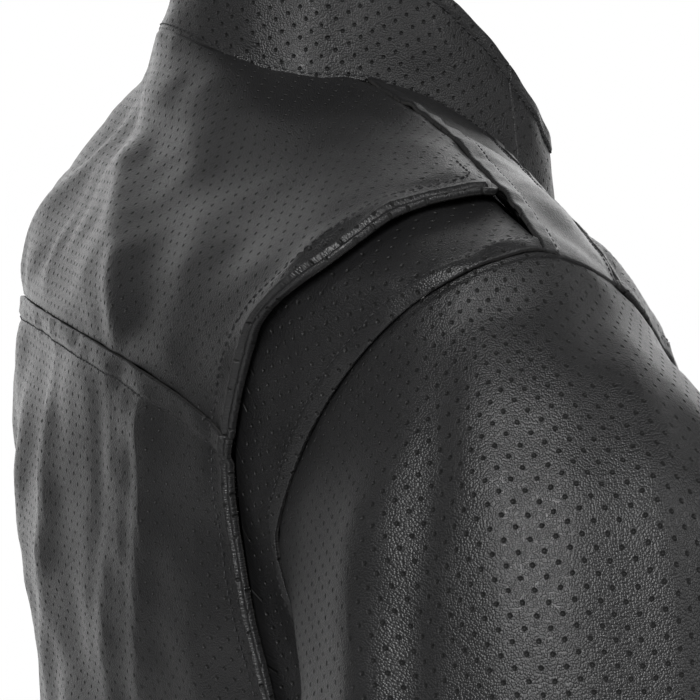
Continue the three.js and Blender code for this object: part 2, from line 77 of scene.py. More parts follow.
# Smooth curves that never overshoot their points.
def slopesOf(xs, ys):
    step = np.diff(xs).reshape(-1, *[1] * (ys.ndim - 1))
    rise = np.diff(ys, axis=0) / step
    slope = np.zeros_like(ys)
    slope[0] = rise[0]
    slope[-1] = rise[-1]
    near = 2 * step[1:] + step[:-1]
    far = step[1:] + 2 * step[:-1]
    with np.errstate(divide="ignore", invalid="ignore"):
        inner = (near + far) / (near / rise[:-1] + far / rise[1:])
    slope[1:-1] = np.where(rise[:-1] * rise[1:] <= 0, 0, inner)
    return slope


def bend(share, step, low, high, slopeLow, slopeHigh):
    square = share * share
    cube = square * share
    return (
        (2 * cube - 3 * square + 1) * low
        + (cube - 2 * square + share) * step * slopeLow
        + (3 * square - 2 * cube) * high
        + (cube - square) * step * slopeHigh
    )


def spanOf(xs, x):
    i = np.clip(np.searchsorted(xs, x, side="right") - 1, 0, len(xs) - 2)
    return i, xs[i + 1] - xs[i], (x - xs[i]) / (xs[i + 1] - xs[i])


def readAlong(place, places, table):
    return np.stack([np.interp(place, places, table[:, k]) for k in range(3)], -1)


def curveThrough(xs, ys):
    xs = np.array(xs, float)
    ys = np.array(ys, float)
    slope = slopesOf(xs, ys)

    def at(x):
        i, step, share = spanOf(xs, np.clip(x, xs[0], xs[-1]))
        return bend(share, step, ys[i], ys[i + 1], slope[i], slope[i + 1])

    return at


# The body's surface: angle is 0 at centre back, positive to the wearer's left, 180 at centre front;
# level runs from 0 at the hem to 6 at the neck seam.
bodySettings = {
    "halfWidth": [200, 190, 203.2, 212, 235, 149.25, 60],
    "front": [130, 133, 134, 129, 100, 90, 100],
    "back": [hemBackReach, 106, 105, 109, 102, 70, 46],
    "middle": [0, 0, -3, -1, 2, 4, 15],
    "sideZ": [0, 185, 400, 517, 603, 638.75, 658],
    "frontZ": [0, 185, 400, 488, 547, 570, 598],
    "backZ": [0, 185, 400, 502, 580, 635, 674],
}
body = {key: curveThrough(range(7), values) for key, values in bodySettings.items()}


def bodySkin(angle, level):
    sine = np.sin(np.radians(angle))
    cosine = np.cos(np.radians(angle))
    isBack = cosine > 0
    reach = np.where(isBack, body["back"](level), body["front"](level))
    crown = np.where(isBack, body["backZ"](level), body["frontZ"](level))
    x = body["halfWidth"](level) * sine
    y = body["middle"](level) + reach * cosine
    z = body["sideZ"](level) * sine**2 + crown * cosine**2
    return np.stack([x, y, z], -1)


def bodyNormal(angle, level):
    across = bodySkin(angle + 1, level) - bodySkin(angle - 1, level)
    up = bodySkin(angle, np.minimum(level + 0.05, 6)) - bodySkin(angle, np.maximum(level - 0.05, 0))
    normal = np.cross(up, across)
    normal[..., 2] *= smooth(np.asarray(level) / 0.6)
    return unit(normal)


def bodyPoint(angle, level, depth=0.0):
    angle, level, depth = np.broadcast_arrays(
        np.asarray(angle, float), np.asarray(level, float), np.asarray(depth, float)
    )
    return bodySkin(angle, level) - bodyNormal(angle, level) * depth[..., None]


# Seam lines on the body, each a pair of angle and level.
pleatSteps = [0, 0.12, 0.25, 0.42, 0.58, 0.72, 0.86, 1]
pleatAngle = curveThrough(pleatSteps, [98, 78, 64, 51, 48.5, 52, 57, 60])
pleatLevel = curveThrough(pleatSteps, [4.62, 4.5, 4.24, 3.82, 3.38, 2.85, 2.3, 1.75])
yokeCorner = 0.57
yokeLevel = 3.9
pleatFoot = 1.75
armhole = {"angle": 102, "backReach": 46, "frontReach": 42, "bend": 8, "level": 3.07, "rise": 1.15}
armpitBackTurn = 150
armpitFrontTurn = 215
stripFrontTurn = -20
stripTopAngle = 98
stripBackTurn = math.degrees(
    math.asin((armhole["angle"] - stripTopAngle) / (armhole["backReach"] - armhole["bend"]))
)
foldAngle = curveThrough(range(7), [149, 150, 153, 152, 148, 148, 150])
sideSeamAngle = 120
backEdgeAngle = curveThrough([0, 1, pleatFoot], [63, 60.5, 60])


def pleatEdge(share):
    return pleatAngle(share), pleatLevel(share)


def armholeSeam(turn):
    sine = np.sin(np.radians(turn))
    cosine = np.cos(np.radians(turn))
    back = armhole["backReach"] - armhole["bend"] * np.abs(cosine)
    reach = np.where(sine > 0, back, armhole["frontReach"]) * sine
    return armhole["angle"] - reach, armhole["level"] + armhole["rise"] * cosine


def mixPlace(a, b, share):
    return mix(a[0], b[0], share), mix(a[1], b[1], share)


def edgeAngle(level, reach):
    return 180 - np.degrees(np.arcsin(reach / body["halfWidth"](level)))


# Panels of the body: each function takes u across and v up, both 0 to 1, and a depth.
def acrossBack(u, edge, centreLevel, depth):
    across = 2 * u - 1
    level = centreLevel + (edge[1] - centreLevel) * across * across
    return bodyPoint(across * edge[0], level, depth)


def yokeSide(v):
    upper = 0.6
    low = pleatEdge(yokeCorner * (1 - v / upper))
    high = mix(pleatLevel(0), 6, (v - upper) / (1 - upper))
    return np.where(v < upper, low[0], stripTopAngle), np.where(v < upper, low[1], high)


def yokePlace(u, v, depth):
    return acrossBack(u, yokeSide(v), mix(yokeLevel, 6, v), depth)


def backSide(v):
    split = 0.5
    high = pleatEdge(mix(1, yokeCorner, (v - split) / (1 - split)))
    level = pleatFoot * np.minimum(v / split, 1)
    low = backEdgeAngle(level)
    return np.where(v > split, high[0], low), np.where(v > split, high[1], level)


def backPlace(u, v, depth):
    return acrossBack(u, backSide(v), yokeLevel * v, depth)


def gussetPlace(side):
    def place(u, v, depth):
        seam = armholeSeam(mix(armpitBackTurn, stripBackTurn, v))
        angle, level = mixPlace(pleatEdge(1 - v), seam, u)
        under = np.where(u > 0, 4.2 * (1 - smooth(u)), 4.2 - 5 * u)
        return bodyPoint(side * angle, level, depth + under)

    return place


def sideTop(u):
    corner = 0.28
    back = mixPlace(pleatEdge(1.0), armholeSeam(armpitBackTurn), u / corner)
    front = armholeSeam(mix(armpitBackTurn, armpitFrontTurn, (u - corner) / (1 - corner)))
    return np.where(u < corner, back[0], front[0]), np.where(u < corner, back[1], front[1])


def sidePlace(side):
    def place(u, v, depth):
        top = sideTop(u)
        level = top[1] * v
        straight = mix(backEdgeAngle(level), sideSeamAngle, u)
        return bodyPoint(side * mix(straight, top[0], smooth(v)), level, depth)

    return place


def stripPlace(side):
    def place(u, v, depth):
        back = mixPlace(armholeSeam(stripBackTurn), (stripTopAngle, 6), v)
        front = mixPlace(armholeSeam(stripFrontTurn), (126, 6), v)
        angle, level = mixPlace(back, front, u)
        return bodyPoint(side * angle, level, depth)

    return place


def frontInner(v):
    split = 0.42
    collarStart = 0.86
    foot = armholeSeam(armpitFrontTurn)
    lowLevel = foot[1] * v / split
    low = (mix(sideSeamAngle, foot[0], smooth(v / split)), lowLevel)
    share = (v - split) / (collarStart - split)
    mid = armholeSeam(mix(armpitFrontTurn, 360 + stripFrontTurn, share))
    high = mixPlace(armholeSeam(stripFrontTurn), (126, 6), (v - collarStart) / (1 - collarStart))
    return [
        np.where(v < split, low[k], np.where(v < collarStart, mid[k], high[k])) for k in (0, 1)
    ]


def frontSidePlace(side):
    def place(u, v, depth):
        angle, level = mixPlace(frontInner(v), (foldAngle(6 * v), 6 * v), u)
        return bodyPoint(side * angle, level, depth)

    return place


zipSettings = {"gap": 26, "teeth": 3.2, "tape": 8, "teethHeight": 3}
teethEdge = zipSettings["gap"] / 2
tapeEdge = teethEdge + zipSettings["teeth"] + 0.6
leatherEdge = tapeEdge + zipSettings["tape"]


def frontPanelPlace(side):
    def place(u, v, depth):
        angle = mix(foldAngle(6 * v), edgeAngle(6 * v, leatherEdge), u)
        return bodyPoint(side * angle, 6 * v, depth)

    return place


collarSettings = {"height": 45, "endHeight": 30, "thickness": 4.5, "join": 138, "foot": -1.6}


def collarPoint(angle, rise, depth):
    foot = bodyPoint(angle, 6.0 + 0 * rise, 0)
    middle = np.stack([0 * angle, body["middle"](6.0) + 0 * angle, foot[..., 2]], -1)
    inward = unit(middle - foot)
    turned = np.abs(angle)
    height = mix(
        collarSettings["height"], collarSettings["endHeight"], smooth((turned - 100) / 75)
    )
    lean = 0.12 + 0.22 * np.maximum(0, np.cos(np.radians(turned)))
    foot[..., 2] += collarSettings["foot"] + rise * height
    return foot + inward * (rise * height * lean + depth)[..., None]


def collarBackPlace(u, v, depth):
    return collarPoint((2 * u - 1) * collarSettings["join"], v, depth)


def collarFrontPlace(side):
    last = edgeAngle(6.0, tapeEdge + 2)

    def place(u, v, depth):
        return collarPoint(side * mix(collarSettings["join"], last, u), v, depth)

    return place


# Sleeves: stations 0 armhole, 1 head, 2 above the elbow, 3 below it, 4 forearm, 5 cuff seam, 6 end.
sleeveSettings = {
    "headMiddle": (-242, -18, 462),
    "headOutward": (-0.331, 0, 0.944),
    "upperWay": (-0.325, -0.02, -0.946),
    "forearmWay": (-0.22, -0.47, -0.855),
    "upper": 187,
    "forearm": 278,
    "elbowGap": 52,
    "cuff": 26,
    "seamBack": 128,
    "seamFront": 222,
}
headMiddle = np.array(sleeveSettings["headMiddle"], float)
upperWay = unit(np.array(sleeveSettings["upperWay"], float))
forearmWay = unit(np.array(sleeveSettings["forearmWay"], float))
elbow = headMiddle + upperWay * sleeveSettings["upper"]


def station(middle, way, halfWidth, halfDepth, outward=None):
    back = unit(np.array([0, 1, 0]) - way[1] * way)
    out = unit(np.cross(back, way)) if outward is None else unit(np.array(outward, float))
    return middle, out * halfWidth, back * halfDepth


forearmLength = sleeveSettings["forearm"]
stations = [
    station(headMiddle, upperWay, 98, 78, sleeveSettings["headOutward"]),
    station(elbow - upperWay * sleeveSettings["elbowGap"], upperWay, 56, 66),
    station(elbow + forearmWay * sleeveSettings["elbowGap"], forearmWay, 54, 63),
    station(elbow + forearmWay * 0.53 * forearmLength, forearmWay, 48, 54),
    station(elbow + forearmWay * (forearmLength - sleeveSettings["cuff"]), forearmWay, 37, 43),
    station(elbow + forearmWay * forearmLength, forearmWay, 36, 42),
]
stationPlaces = np.arange(7.0)


def sleevePlace(side):
    # turn is 0 on the outside of the arm, 90 at the back, 180 inside and 270 at the front
    def place(turn, at, depth):
        turn, at, depth = np.broadcast_arrays(
            np.asarray(turn, float), np.asarray(at, float), np.asarray(depth, float)
        )
        shape = turn.shape
        turn, at, depth = turn.ravel(), at.ravel(), depth.ravel()
        angle, level = armholeSeam(turn)
        rings = [bodyPoint(-angle, level, depth)]
        for middle, out, back in stations:
            shrinkOut = 1 - depth / np.linalg.norm(out)
            shrinkBack = 1 - depth / np.linalg.norm(back)
            acrossOut = (np.cos(np.radians(turn)) * shrinkOut)[:, None] * out
            acrossBackward = (np.sin(np.radians(turn)) * shrinkBack)[:, None] * back
            rings.append(middle + acrossOut + acrossBackward)
        rings = np.array(rings)
        slope = slopesOf(stationPlaces, rings)
        i, _, share = spanOf(stationPlaces, np.clip(at, 0, 6))
        row = np.arange(len(turn))
        spot = bend(
            share[:, None], 1.0, rings[i, row], rings[i + 1, row], slope[i, row], slope[i + 1, row]
        )
        spot[:, 0] *= -side
        return spot.reshape(*shape, 3)

    return place


def sleevePart(side, first, last, start, end):
    whole = sleevePlace(side)

    def place(u, v, depth):
        return whole(mix(first, last, u), mix(start, end, v), depth)

    return place


# Relief: soft folds, seams and small wrinkles are added to a panel along its depth.
foldEnds = 0.3


def waves(points, length, seed, count=14):
    random = np.random.default_rng(seed)
    ways = unit(random.normal(size=(count, 3))) * (2 * math.pi / length)
    ways *= random.uniform(0.6, 1.5, (count, 1))
    phases = random.uniform(0, 2 * math.pi, count)
    return np.sin(points @ ways.T + phases).sum(-1) / math.sqrt(count / 2)


def foldLine(fold, surface, side):
    steps = np.linspace(0, 1, len(fold["points"]))
    table = np.array(fold["points"], float)
    t = np.linspace(0, 1, 70)
    first = curveThrough(steps, table[:, 0])(t)
    second = curveThrough(steps, table[:, 1])(t)
    if surface == "body":
        return bodyPoint(side * first, second, 0.0), t
    return sleevePlace(side)(first, second, 0.0), t


def foldRelief(points, folds, side):
    relief = np.zeros(points.shape[:-1])
    flat = points.reshape(-1, 3)
    for fold in folds:
        line, t = foldLine(fold, fold.get("on", "body"), side)
        nearest = np.full(len(flat), np.inf)
        place = np.zeros(len(flat))
        for spot, share in zip(line, t):
            gap = np.linalg.norm(flat - spot, axis=1)
            closer = gap < nearest
            nearest[closer] = gap[closer]
            place[closer] = share
        taper = smooth(place / foldEnds) * smooth((1 - place) / foldEnds)
        rise = fold["height"] * np.exp(-((nearest / fold["width"]) ** 2)) * taper
        relief += rise.reshape(relief.shape)
    return relief


# Distances from a panel's four edges: first and last are u 0 and 1, low and high are v 0 and 1.
def edgeDistances(points):
    across = np.linalg.norm(np.diff(points, axis=1), axis=-1)
    along = np.linalg.norm(np.diff(points, axis=0), axis=-1)
    acrossSum = np.concatenate([np.zeros((len(points), 1)), np.cumsum(across, 1)], 1)
    alongSum = np.concatenate([np.zeros((1, points.shape[1])), np.cumsum(along, 0)], 0)
    return {
        "first": acrossSum,
        "last": acrossSum[:, -1:] - acrossSum,
        "low": alongSum,
        "high": alongSum[-1:] - alongSum,
    }


edgeKinds = {
    "plain": {"raise": 0, "band": 3, "rows": [], "pucker": 0.1},
    "under": {"raise": -0.5, "band": 2.5, "rows": [], "pucker": 0.15},
    "seam": {"raise": 0.35, "band": 3, "rows": [2], "pucker": 0.12},
    "banded": {"raise": 0.9, "band": 7.6, "rows": [7.9], "pucker": 0.4},
    "topstitched": {"raise": 0.9, "band": 6.2, "rows": [6.2], "pucker": 0.3},
    "hem": {"raise": 0.7, "band": 14, "rows": [12], "pucker": 0.3},
    "patch": {"raise": 0.1, "band": 1.5, "rows": [1.6], "pucker": 0.05},
    "tape": {"raise": 0, "band": 1.5, "rows": [1.6], "pucker": 0},
    "lip": {"raise": 0, "band": 2, "rows": [1.9], "pucker": 0.05},
    "tab": {"raise": 0.3, "band": 3, "rows": [3.2], "pucker": 0.1},
    "bound": {"raise": 0.3, "band": 10, "rows": [10.4], "pucker": 0.12, "ridge": 3.4},
}


seamSettings = {"step": 1.6, "groove": 0.35, "grooveWidth": 0.7, "puckerWave": 15}


def edgeRelief(distance, points, kind):
    edge = edgeKinds[kind]
    relief = edge["raise"] * (1 - smooth((distance - edge["band"]) / seamSettings["step"] + 0.5))
    for row in edge["rows"]:
        away = (distance - row) / seamSettings["grooveWidth"]
        relief = relief - seamSettings["groove"] * np.exp(-(away**2))
    near = np.exp(-((distance / (edge["band"] + 5)) ** 2))
    relief = relief + edge["pucker"] * near * waves(points, seamSettings["puckerWave"], len(kind))
    if "ridge" in edge:
        # a rolled edge, a narrow valley and then the fold's own crest, which fades inward
        rolled = 1.1 * np.exp(-(((distance - 1.1) / 1.0) ** 4))
        crest = 1.9 * smooth((distance - edge["ridge"] + 0.9) / 0.9)
        relief = relief + rolled + crest * np.exp(-np.maximum(distance - edge["ridge"], 0) / 3.2)
    return relief


def spacing(length, cell):
    fine = [0, 0.15, 0.4, 0.8, 1.4, 2.0, 2.7, 3.4, 4.2, 5.0, 5.8, 6.6, 7.4, 8.3, 9.4, 11, 13]
    if length < 2.4 * fine[-1]:
        fine = [0, 0.3, 0.8, 1.5, 2.4, 3.5]
    if length < 2.4 * fine[-1]:
        return np.linspace(0, 1, 7)
    middle = np.linspace(fine[-1], length - fine[-1], max(3, int((length - 2 * fine[-1]) / cell)))
    end = length - np.array(fine[::-1])
    return np.concatenate([fine, middle[1:-1], end]) / length


# The flat pattern of a panel: a coarse net is unwrapped and scaled to true size.
patternCells = 24


def flatPattern(place, columns, rows):
    u, v = np.meshgrid(np.linspace(0, 1, columns + 1), np.linspace(0, 1, rows + 1))
    points = place(u, v, 0.0 * u) * 0.001
    width = columns + 1
    faces = [
        (row * width + column, row * width + column + 1, (row + 1) * width + column + 1,
         (row + 1) * width + column)
        for row in range(rows)
        for column in range(columns)
    ]
    mesh = bpy.data.meshes.new("pattern")
    mesh.from_pydata(points.reshape(-1, 3).tolist(), [], faces)
    net = bpy.data.objects.new("pattern", mesh)
    bpy.context.scene.collection.objects.link(net)
    bpy.context.view_layer.objects.active = net
    net.select_set(True)
    bpy.ops.object.mode_set(mode="EDIT")
    bpy.ops.mesh.select_all(action="SELECT")
    bpy.ops.uv.unwrap(method="CONFORMAL", margin=0)
    bpy.ops.object.mode_set(mode="OBJECT")
    flat = np.zeros((len(points.reshape(-1, 3)), 2))
    layer = mesh.uv_layers.active.data
    for loop in mesh.loops:
        flat[loop.vertex_index] = layer[loop.index].uv
    realArea = sum(face.area for face in mesh.polygons)
    corner = flat[np.array(faces)]
    nextCorner = np.roll(corner, -1, 1)
    flatArea = np.abs(
        0.5 * (corner[..., 0] * nextCorner[..., 1] - corner[..., 1] * nextCorner[..., 0]).sum(1)
    ).sum()
    bpy.data.objects.remove(net)
    bpy.data.meshes.remove(mesh)
    flat = flat.reshape(rows + 1, columns + 1, 2) * math.sqrt(realArea / flatArea)
    up = flat[rows * 2 // 3, columns // 2] - flat[rows // 3, columns // 2]
    up = up / np.linalg.norm(up)
    turned = np.stack([flat @ np.array([up[1], -up[0]]), flat @ up], -1)
    return turned - turned[rows // 2, columns // 2]


def readPattern(pattern, u, v):
    rows, columns = pattern.shape[0] - 1, pattern.shape[1] - 1
    x = np.clip(u * columns, 0, columns - 1e-9)
    y = np.clip(v * rows, 0, rows - 1e-9)
    i, j = x.astype(int), y.astype(int)
    a, b = (x - i)[..., None], (y - j)[..., None]
    low = mix(pattern[j, i], pattern[j, i + 1], a)
    high = mix(pattern[j + 1, i], pattern[j + 1, i + 1], a)
    return mix(low, high, b)


# A stitch is a short thread that dips into the leather at both ends.
stitchSettings = {"pitch": 3.0, "length": 2.3, "radius": 0.3, "sink": 0.05}


def stitchesAlong(line, normals):
    steps = np.linalg.norm(np.diff(line, axis=0), axis=1)
    total = np.concatenate([[0], np.cumsum(steps)])
    count = int(total[-1] / stitchSettings["pitch"])
    if count < 2:
        return np.zeros((0, 3)), []
    starts = (np.arange(count) + 0.15) * total[-1] / count
    vertices = []
    faces = []
    # each ring of the thread: its share of the length, its girth and its lift
    stationsAlong = [(0, 0.35, -0.25), (0.25, 1, 0.12), (0.75, 1, 0.12), (1, 0.35, -0.25)]
    sidesRound = 5
    for start in starts:
        base = len(vertices)
        for share, girth, lift in stationsAlong:
            at = start + share * stitchSettings["length"]
            way = unit(readAlong(at + 0.5, total, line) - readAlong(at - 0.5, total, line))
            out = unit(readAlong(at, total, normals))
            across = unit(np.cross(way, out))
            spot = readAlong(at, total, line) + out * (lift + stitchSettings["sink"])
            for k in range(sidesRound):
                a = 2 * math.pi * k / sidesRound
                radius = stitchSettings["radius"] * girth
                vertices.append(spot + (across * math.cos(a) + out * math.sin(a)) * radius)
        for ring in range(len(stationsAlong) - 1):
            for k in range(sidesRound):
                a = base + ring * sidesRound + k
                b = base + ring * sidesRound + (k + 1) % sidesRound
                faces.append((a, b, b + sidesRound, a + sidesRound))
        faces.append(tuple(base + k for k in reversed(range(sidesRound))))
        last = base + (len(stationsAlong) - 1) * sidesRound
        faces.append(tuple(last + k for k in range(sidesRound)))
    return np.array(vertices), faces


# Where a panel's surface is a given distance inside one of its edges.
def insetLine(points, normals, distance, edge, inset, span):
    if edge in ("first", "last"):
        points, normals, distance = (np.swapaxes(t, 0, 1) for t in (points, normals, distance))
    if edge in ("last", "high"):
        points, normals, distance = points[::-1], normals[::-1], distance[::-1]
    count = points.shape[1]
    spots = []
    outs = []
    for k in range(count):
        if not span[0] <= k / (count - 1) <= span[1] or distance[-1, k] < inset * 1.5:
            continue
        spots.append(readAlong(inset, distance[:, k], points[:, k]))
        outs.append(readAlong(inset, distance[:, k], normals[:, k]))
    return np.array(spots).reshape(-1, 3), np.array(outs).reshape(-1, 3)


def addMesh(name, vertices, faces, flat, slots, materials):
    mesh = bpy.data.meshes.new(name)
    mesh.from_pydata(vertices.tolist(), [], faces)
    layer = mesh.uv_layers.new(name="pattern")
    corners = np.zeros(len(mesh.loops), np.int32)
    mesh.loops.foreach_get("vertex_index", corners)
    layer.data.foreach_set("uv", flat[corners].astype(np.float32).ravel())
    mesh.polygons.foreach_set("material_index", np.array(slots, np.int32))
    mesh.shade_smooth()
    for material in materials:
        mesh.materials.append(material)
    mesh.update()
    piece = bpy.data.objects.new(name, mesh)
    bpy.context.scene.collection.objects.link(piece)
    return piece


panelSettings = {
    "thickness": 2,
    "cell": 4,
    "gap": 0.14,
    "round": 0.7,
    "under": 0,
    "wrinkles": [(125, 1.3), (52, 0.45), (24, 0.16), (9, 0.05)],
}
broadWave = 40
broadSeed = 3


# Each run of one kind of edge, with where it starts and ends along that edge.
def edgeRuns(edges):
    for edge, spec in edges.items():
        for kind, first, last in spec if isinstance(spec, list) else [(spec, 0, 1)]:
            yield edge, kind, first, last


def leatherPanel(name, place, size, materials, side=1, edges=None, folds=(), shape=None, **changes):
    settings = {**panelSettings, **changes}
    edges = edges or {}
    width, length = size
    us = spacing(width, settings["cell"])
    vs = spacing(length, settings["cell"])
    gapU = settings["gap"] / width
    gapV = settings["gap"] / length
    start = gapU - settings["under"]
    u, v = np.meshgrid(mix(start, 1 - gapU, us), mix(gapV, 1 - gapV, vs))
    base = place(u, v, 0.0 * u)
    distances = edgeDistances(base)
    nearest = np.minimum.reduce(list(distances.values()))
    seed = sum(map(ord, name.rsplit("_", 1)[0]))
    relief = foldRelief(base, folds, side)
    sameBothSides = base * (side, 1, 1)
    for wave, height in settings["wrinkles"]:
        # broad waves run on across the seams, which hold them down
        waveSeed = broadSeed if wave > broadWave else seed + int(wave)
        wavy = height * waves(sameBothSides, wave, waveSeed)
        relief = relief + wavy * smooth(nearest / min(20, wave / 3))
    for edge, kind, first, last in edgeRuns(edges):
        share = v if edge in ("first", "last") else u
        band = smooth((share - first) / 0.02 + 1) * smooth((last - share) / 0.02 + 1)
        relief = relief + band * edgeRelief(distances[edge], base, kind)
    if shape is not None:
        relief = relief + shape(u, v, base)
    thickness = settings["thickness"]
    radius = min(settings["round"], thickness / 2)
    drop = radius - np.sqrt(radius**2 - np.clip(radius - nearest, 0, radius) ** 2)
    outer = place(u, v, drop - relief)
    inner = place(u, v, thickness - drop - relief)
    rows, columns = u.shape
    index = np.arange(rows * columns).reshape(rows, columns)
    innerIndex = index + rows * columns
    for edgeOf in (np.s_[0, :], np.s_[-1, :], np.s_[:, 0], np.s_[:, -1]):
        innerIndex[edgeOf] = index[edgeOf]

    def quads(table):
        return np.stack([table[:-1, :-1], table[:-1, 1:], table[1:, 1:], table[1:, :-1]], -1)

    outward = unit(outer - inner + (place(u, v, -1.0 + 0 * u) - base) * 1e-3)
    a, b = outer[:-1, 1:] - outer[:-1, :-1], outer[1:, :-1] - outer[:-1, :-1]
    facing = (np.cross(a, b) * outward[:-1, :-1]).sum(-1)
    outerFaces = quads(index).reshape(-1, 4)
    innerFaces = quads(innerIndex).reshape(-1, 4)[:, ::-1]
    if np.median(facing) < 0:
        outerFaces, innerFaces = outerFaces[:, ::-1], innerFaces[:, ::-1]
    vertices = np.concatenate([outer.reshape(-1, 3), inner.reshape(-1, 3)])
    pattern = flatPattern(place, patternCells, patternCells)
    flatOuter = readPattern(pattern, np.clip(u, 0, 1), v).reshape(-1, 2)
    flat = np.concatenate([flatOuter, flatOuter])
    faces = outerFaces.tolist() + innerFaces.tolist()
    slots = [0] * len(outerFaces) + [1] * len(innerFaces)
    normals = unit(place(u, v, -1.0 + 0 * u) - base)
    for edge, kind, first, last in edgeRuns(edges):
        for row in edgeKinds[kind]["rows"]:
            line, outs = insetLine(outer, normals, distances[edge], edge, row, (first, last))
            if len(line) < 3:
                continue
            threads, threadFaces = stitchesAlong(line, outs)
            made = len(vertices)
            vertices = np.concatenate([vertices, threads])
            flat = np.concatenate([flat, np.zeros((len(threads), 2))])
            faces += [tuple(made + k for k in face) for face in threadFaces]
            slots += [2] * len(threadFaces)
    used = np.unique(np.concatenate([np.array(face) for face in faces]))
    renumber = np.zeros(len(vertices), int)
    renumber[used] = np.arange(len(used))
    faces = [tuple(renumber[list(face)]) for face in faces]
    return addMesh(name, toFrame(vertices[used]), faces, flat[used], slots, materials)


# Materials.
def newMaterial(name):
    material = bpy.data.materials.new(name)
    material.use_nodes = True
    tree = material.node_tree
    shader = tree.nodes["Principled BSDF"]
    return material, tree, shader


def feed(tree, socket, value):
    if isinstance(value, bpy.types.NodeSocket):
        tree.links.new(value, socket)
    else:
        socket.default_value = value


def addNode(tree, kind, **values):
    node = tree.nodes.new(kind)
    for key, value in values.items():
        if hasattr(node, key):
            setattr(node, key, value)
        else:
            feed(tree, node.inputs[key], value)
    return node


def vectorNode(tree, operation, first, second=None):
    node = addNode(tree, "ShaderNodeVectorMath", operation=operation)
    feed(tree, node.inputs[0], first)
    if second is not None:
        feed(tree, node.inputs[1], second)
    return node.outputs["Value" if operation in ("LENGTH", "DOT_PRODUCT") else "Vector"]


def calculate(tree, operation, *values):
    node = addNode(tree, "ShaderNodeMath", operation=operation)
    for socket, value in zip(node.inputs, values):
        feed(tree, socket, value)
    return node.outputs[0]


def rampOf(tree, value, low, high, lowTo=0.0, highTo=1.0):
    node = addNode(tree, "ShaderNodeMapRange", interpolation_type="SMOOTHSTEP", Value=value)
    for key, end in (("From Min", low), ("From Max", high), ("To Min", lowTo), ("To Max", highTo)):
        node.inputs[key].default_value = end
    return node.outputs["Result"]


def blendColours(tree, share, first, second):
    node = addNode(tree, "ShaderNodeMix", data_type="RGBA")
    feed(tree, node.inputs[0], share)
    colours = [s for s in node.inputs if s.type == "RGBA"]
    for socket, value in zip(colours, (first, second)):
        feed(tree, socket, (*value, 1) if isinstance(value, tuple) else value)
    return [s for s in node.outputs if s.type == "RGBA"][0]


def scaledPlace(tree, cell, turn=0.0):
    uv = addNode(tree, "ShaderNodeUVMap", uv_map="pattern")
    place = addNode(
        tree, "ShaderNodeMapping", Vector=uv.outputs[0], Scale=(1 / cell, 1 / cell, 1),
        Rotation=(0, 0, turn),
    )
    return place.outputs[0]


def dress(tree, shader, colour, roughness, height, depth):
    feed(tree, shader.inputs["Base Color"], colour)
    feed(tree, shader.inputs["Roughness"], roughness)
    bump = addNode(tree, "ShaderNodeBump", Distance=depth, Height=height)
    feed(tree, shader.inputs["Normal"], bump.outputs[0])


leatherSettings = {
    "colour": (0.01, 0.01, 0.0105),
    "worn": (0.015, 0.015, 0.0155),
    # near black: painted shade inside the punched holes, which are only a bump dish
    "holeColour": (0.002, 0.002, 0.002),
    "holePitch": 0.00475,
    "holeRadius": 0.145,
    "holeDepth": 4.2,
    "grain": 0.00065,
    "relief": 0.0002,
}


def leatherMaterial(name, holes=True, roughness=0.4, grainHeight=0.5, colour=None):
    material, tree, shader = newMaterial(name)
    s = leatherSettings
    # fine pebble grain
    grainPlace = scaledPlace(tree, s["grain"])
    cells = addNode(
        tree, "ShaderNodeTexVoronoi", voronoi_dimensions="2D", feature="F1", Scale=1,
        Vector=grainPlace,
    )
    pebble = rampOf(tree, cells.outputs["Distance"], 0.15, 0.75, 1, 0)
    soft, broad = (
        addNode(
            tree, "ShaderNodeTexNoise", noise_dimensions="2D", Scale=scale, Detail=detail,
            Vector=grainPlace,
        ).outputs[0]
        for scale, detail in ((0.5, 4.0), (0.02, 3.0))
    )
    grain = calculate(tree, "MULTIPLY_ADD", soft, 0.3, pebble)
    height = calculate(tree, "MULTIPLY", grain, grainHeight)
    tone = rampOf(tree, broad, 0.35, 0.65, 0, 0.6)
    base = blendColours(tree, tone, colour or s["colour"], s["worn"])
    rough = calculate(tree, "MULTIPLY_ADD", soft, 0.22, roughness - 0.11)
    if holes:
        # punched holes on a square net turned by 45 degrees, coloured near black as painted shade
        # inside each hole
        cell = vectorNode(tree, "FRACTION", scaledPlace(tree, s["holePitch"], math.radians(45)))
        centred = vectorNode(tree, "SUBTRACT", cell, (0.5, 0.5, 0))
        distance = vectorNode(tree, "LENGTH", vectorNode(tree, "MULTIPLY", centred, (1, 1, 0)))
        rim = s["holeRadius"] + 0.03
        hole = rampOf(tree, distance, s["holeRadius"] - 0.03, rim, 1, 0)
        dish = rampOf(tree, distance, 0.02, rim, 1, 0)
        # the hole's near-black colour is painted shade; its dish and rougher floor are relief
        base = blendColours(tree, hole, base, s["holeColour"])
        height = calculate(tree, "MULTIPLY_ADD", dish, -s["holeDepth"], height)
        rough = calculate(tree, "MULTIPLY_ADD", hole, 0.25, rough)
    dress(tree, shader, base, rough, height, s["relief"])
    return material


def clothMaterial(name, colour, roughness, thread, height):
    material, tree, shader = newMaterial(name)
    place = scaledPlace(tree, thread)
    split = addNode(tree, "ShaderNodeSeparateXYZ")
    feed(tree, split.inputs[0], place)
    across, along = (
        calculate(tree, "SINE", calculate(tree, "MULTIPLY", split.outputs[k], 2 * math.pi))
        for k in (0, 1)
    )
    weave = calculate(tree, "MULTIPLY", across, along)
    spots = addNode(tree, "ShaderNodeTexNoise", Scale=0.05, Detail=3.0, Vector=place)
    light = tuple(min(1, 1.8 * c + 0.01) for c in colour)
    share = rampOf(tree, calculate(tree, "MULTIPLY_ADD", spots.outputs[0], 0.8, weave), -0.8, 1.4)
    dress(tree, shader, blendColours(tree, share, colour, light), roughness, weave, height)
    return material


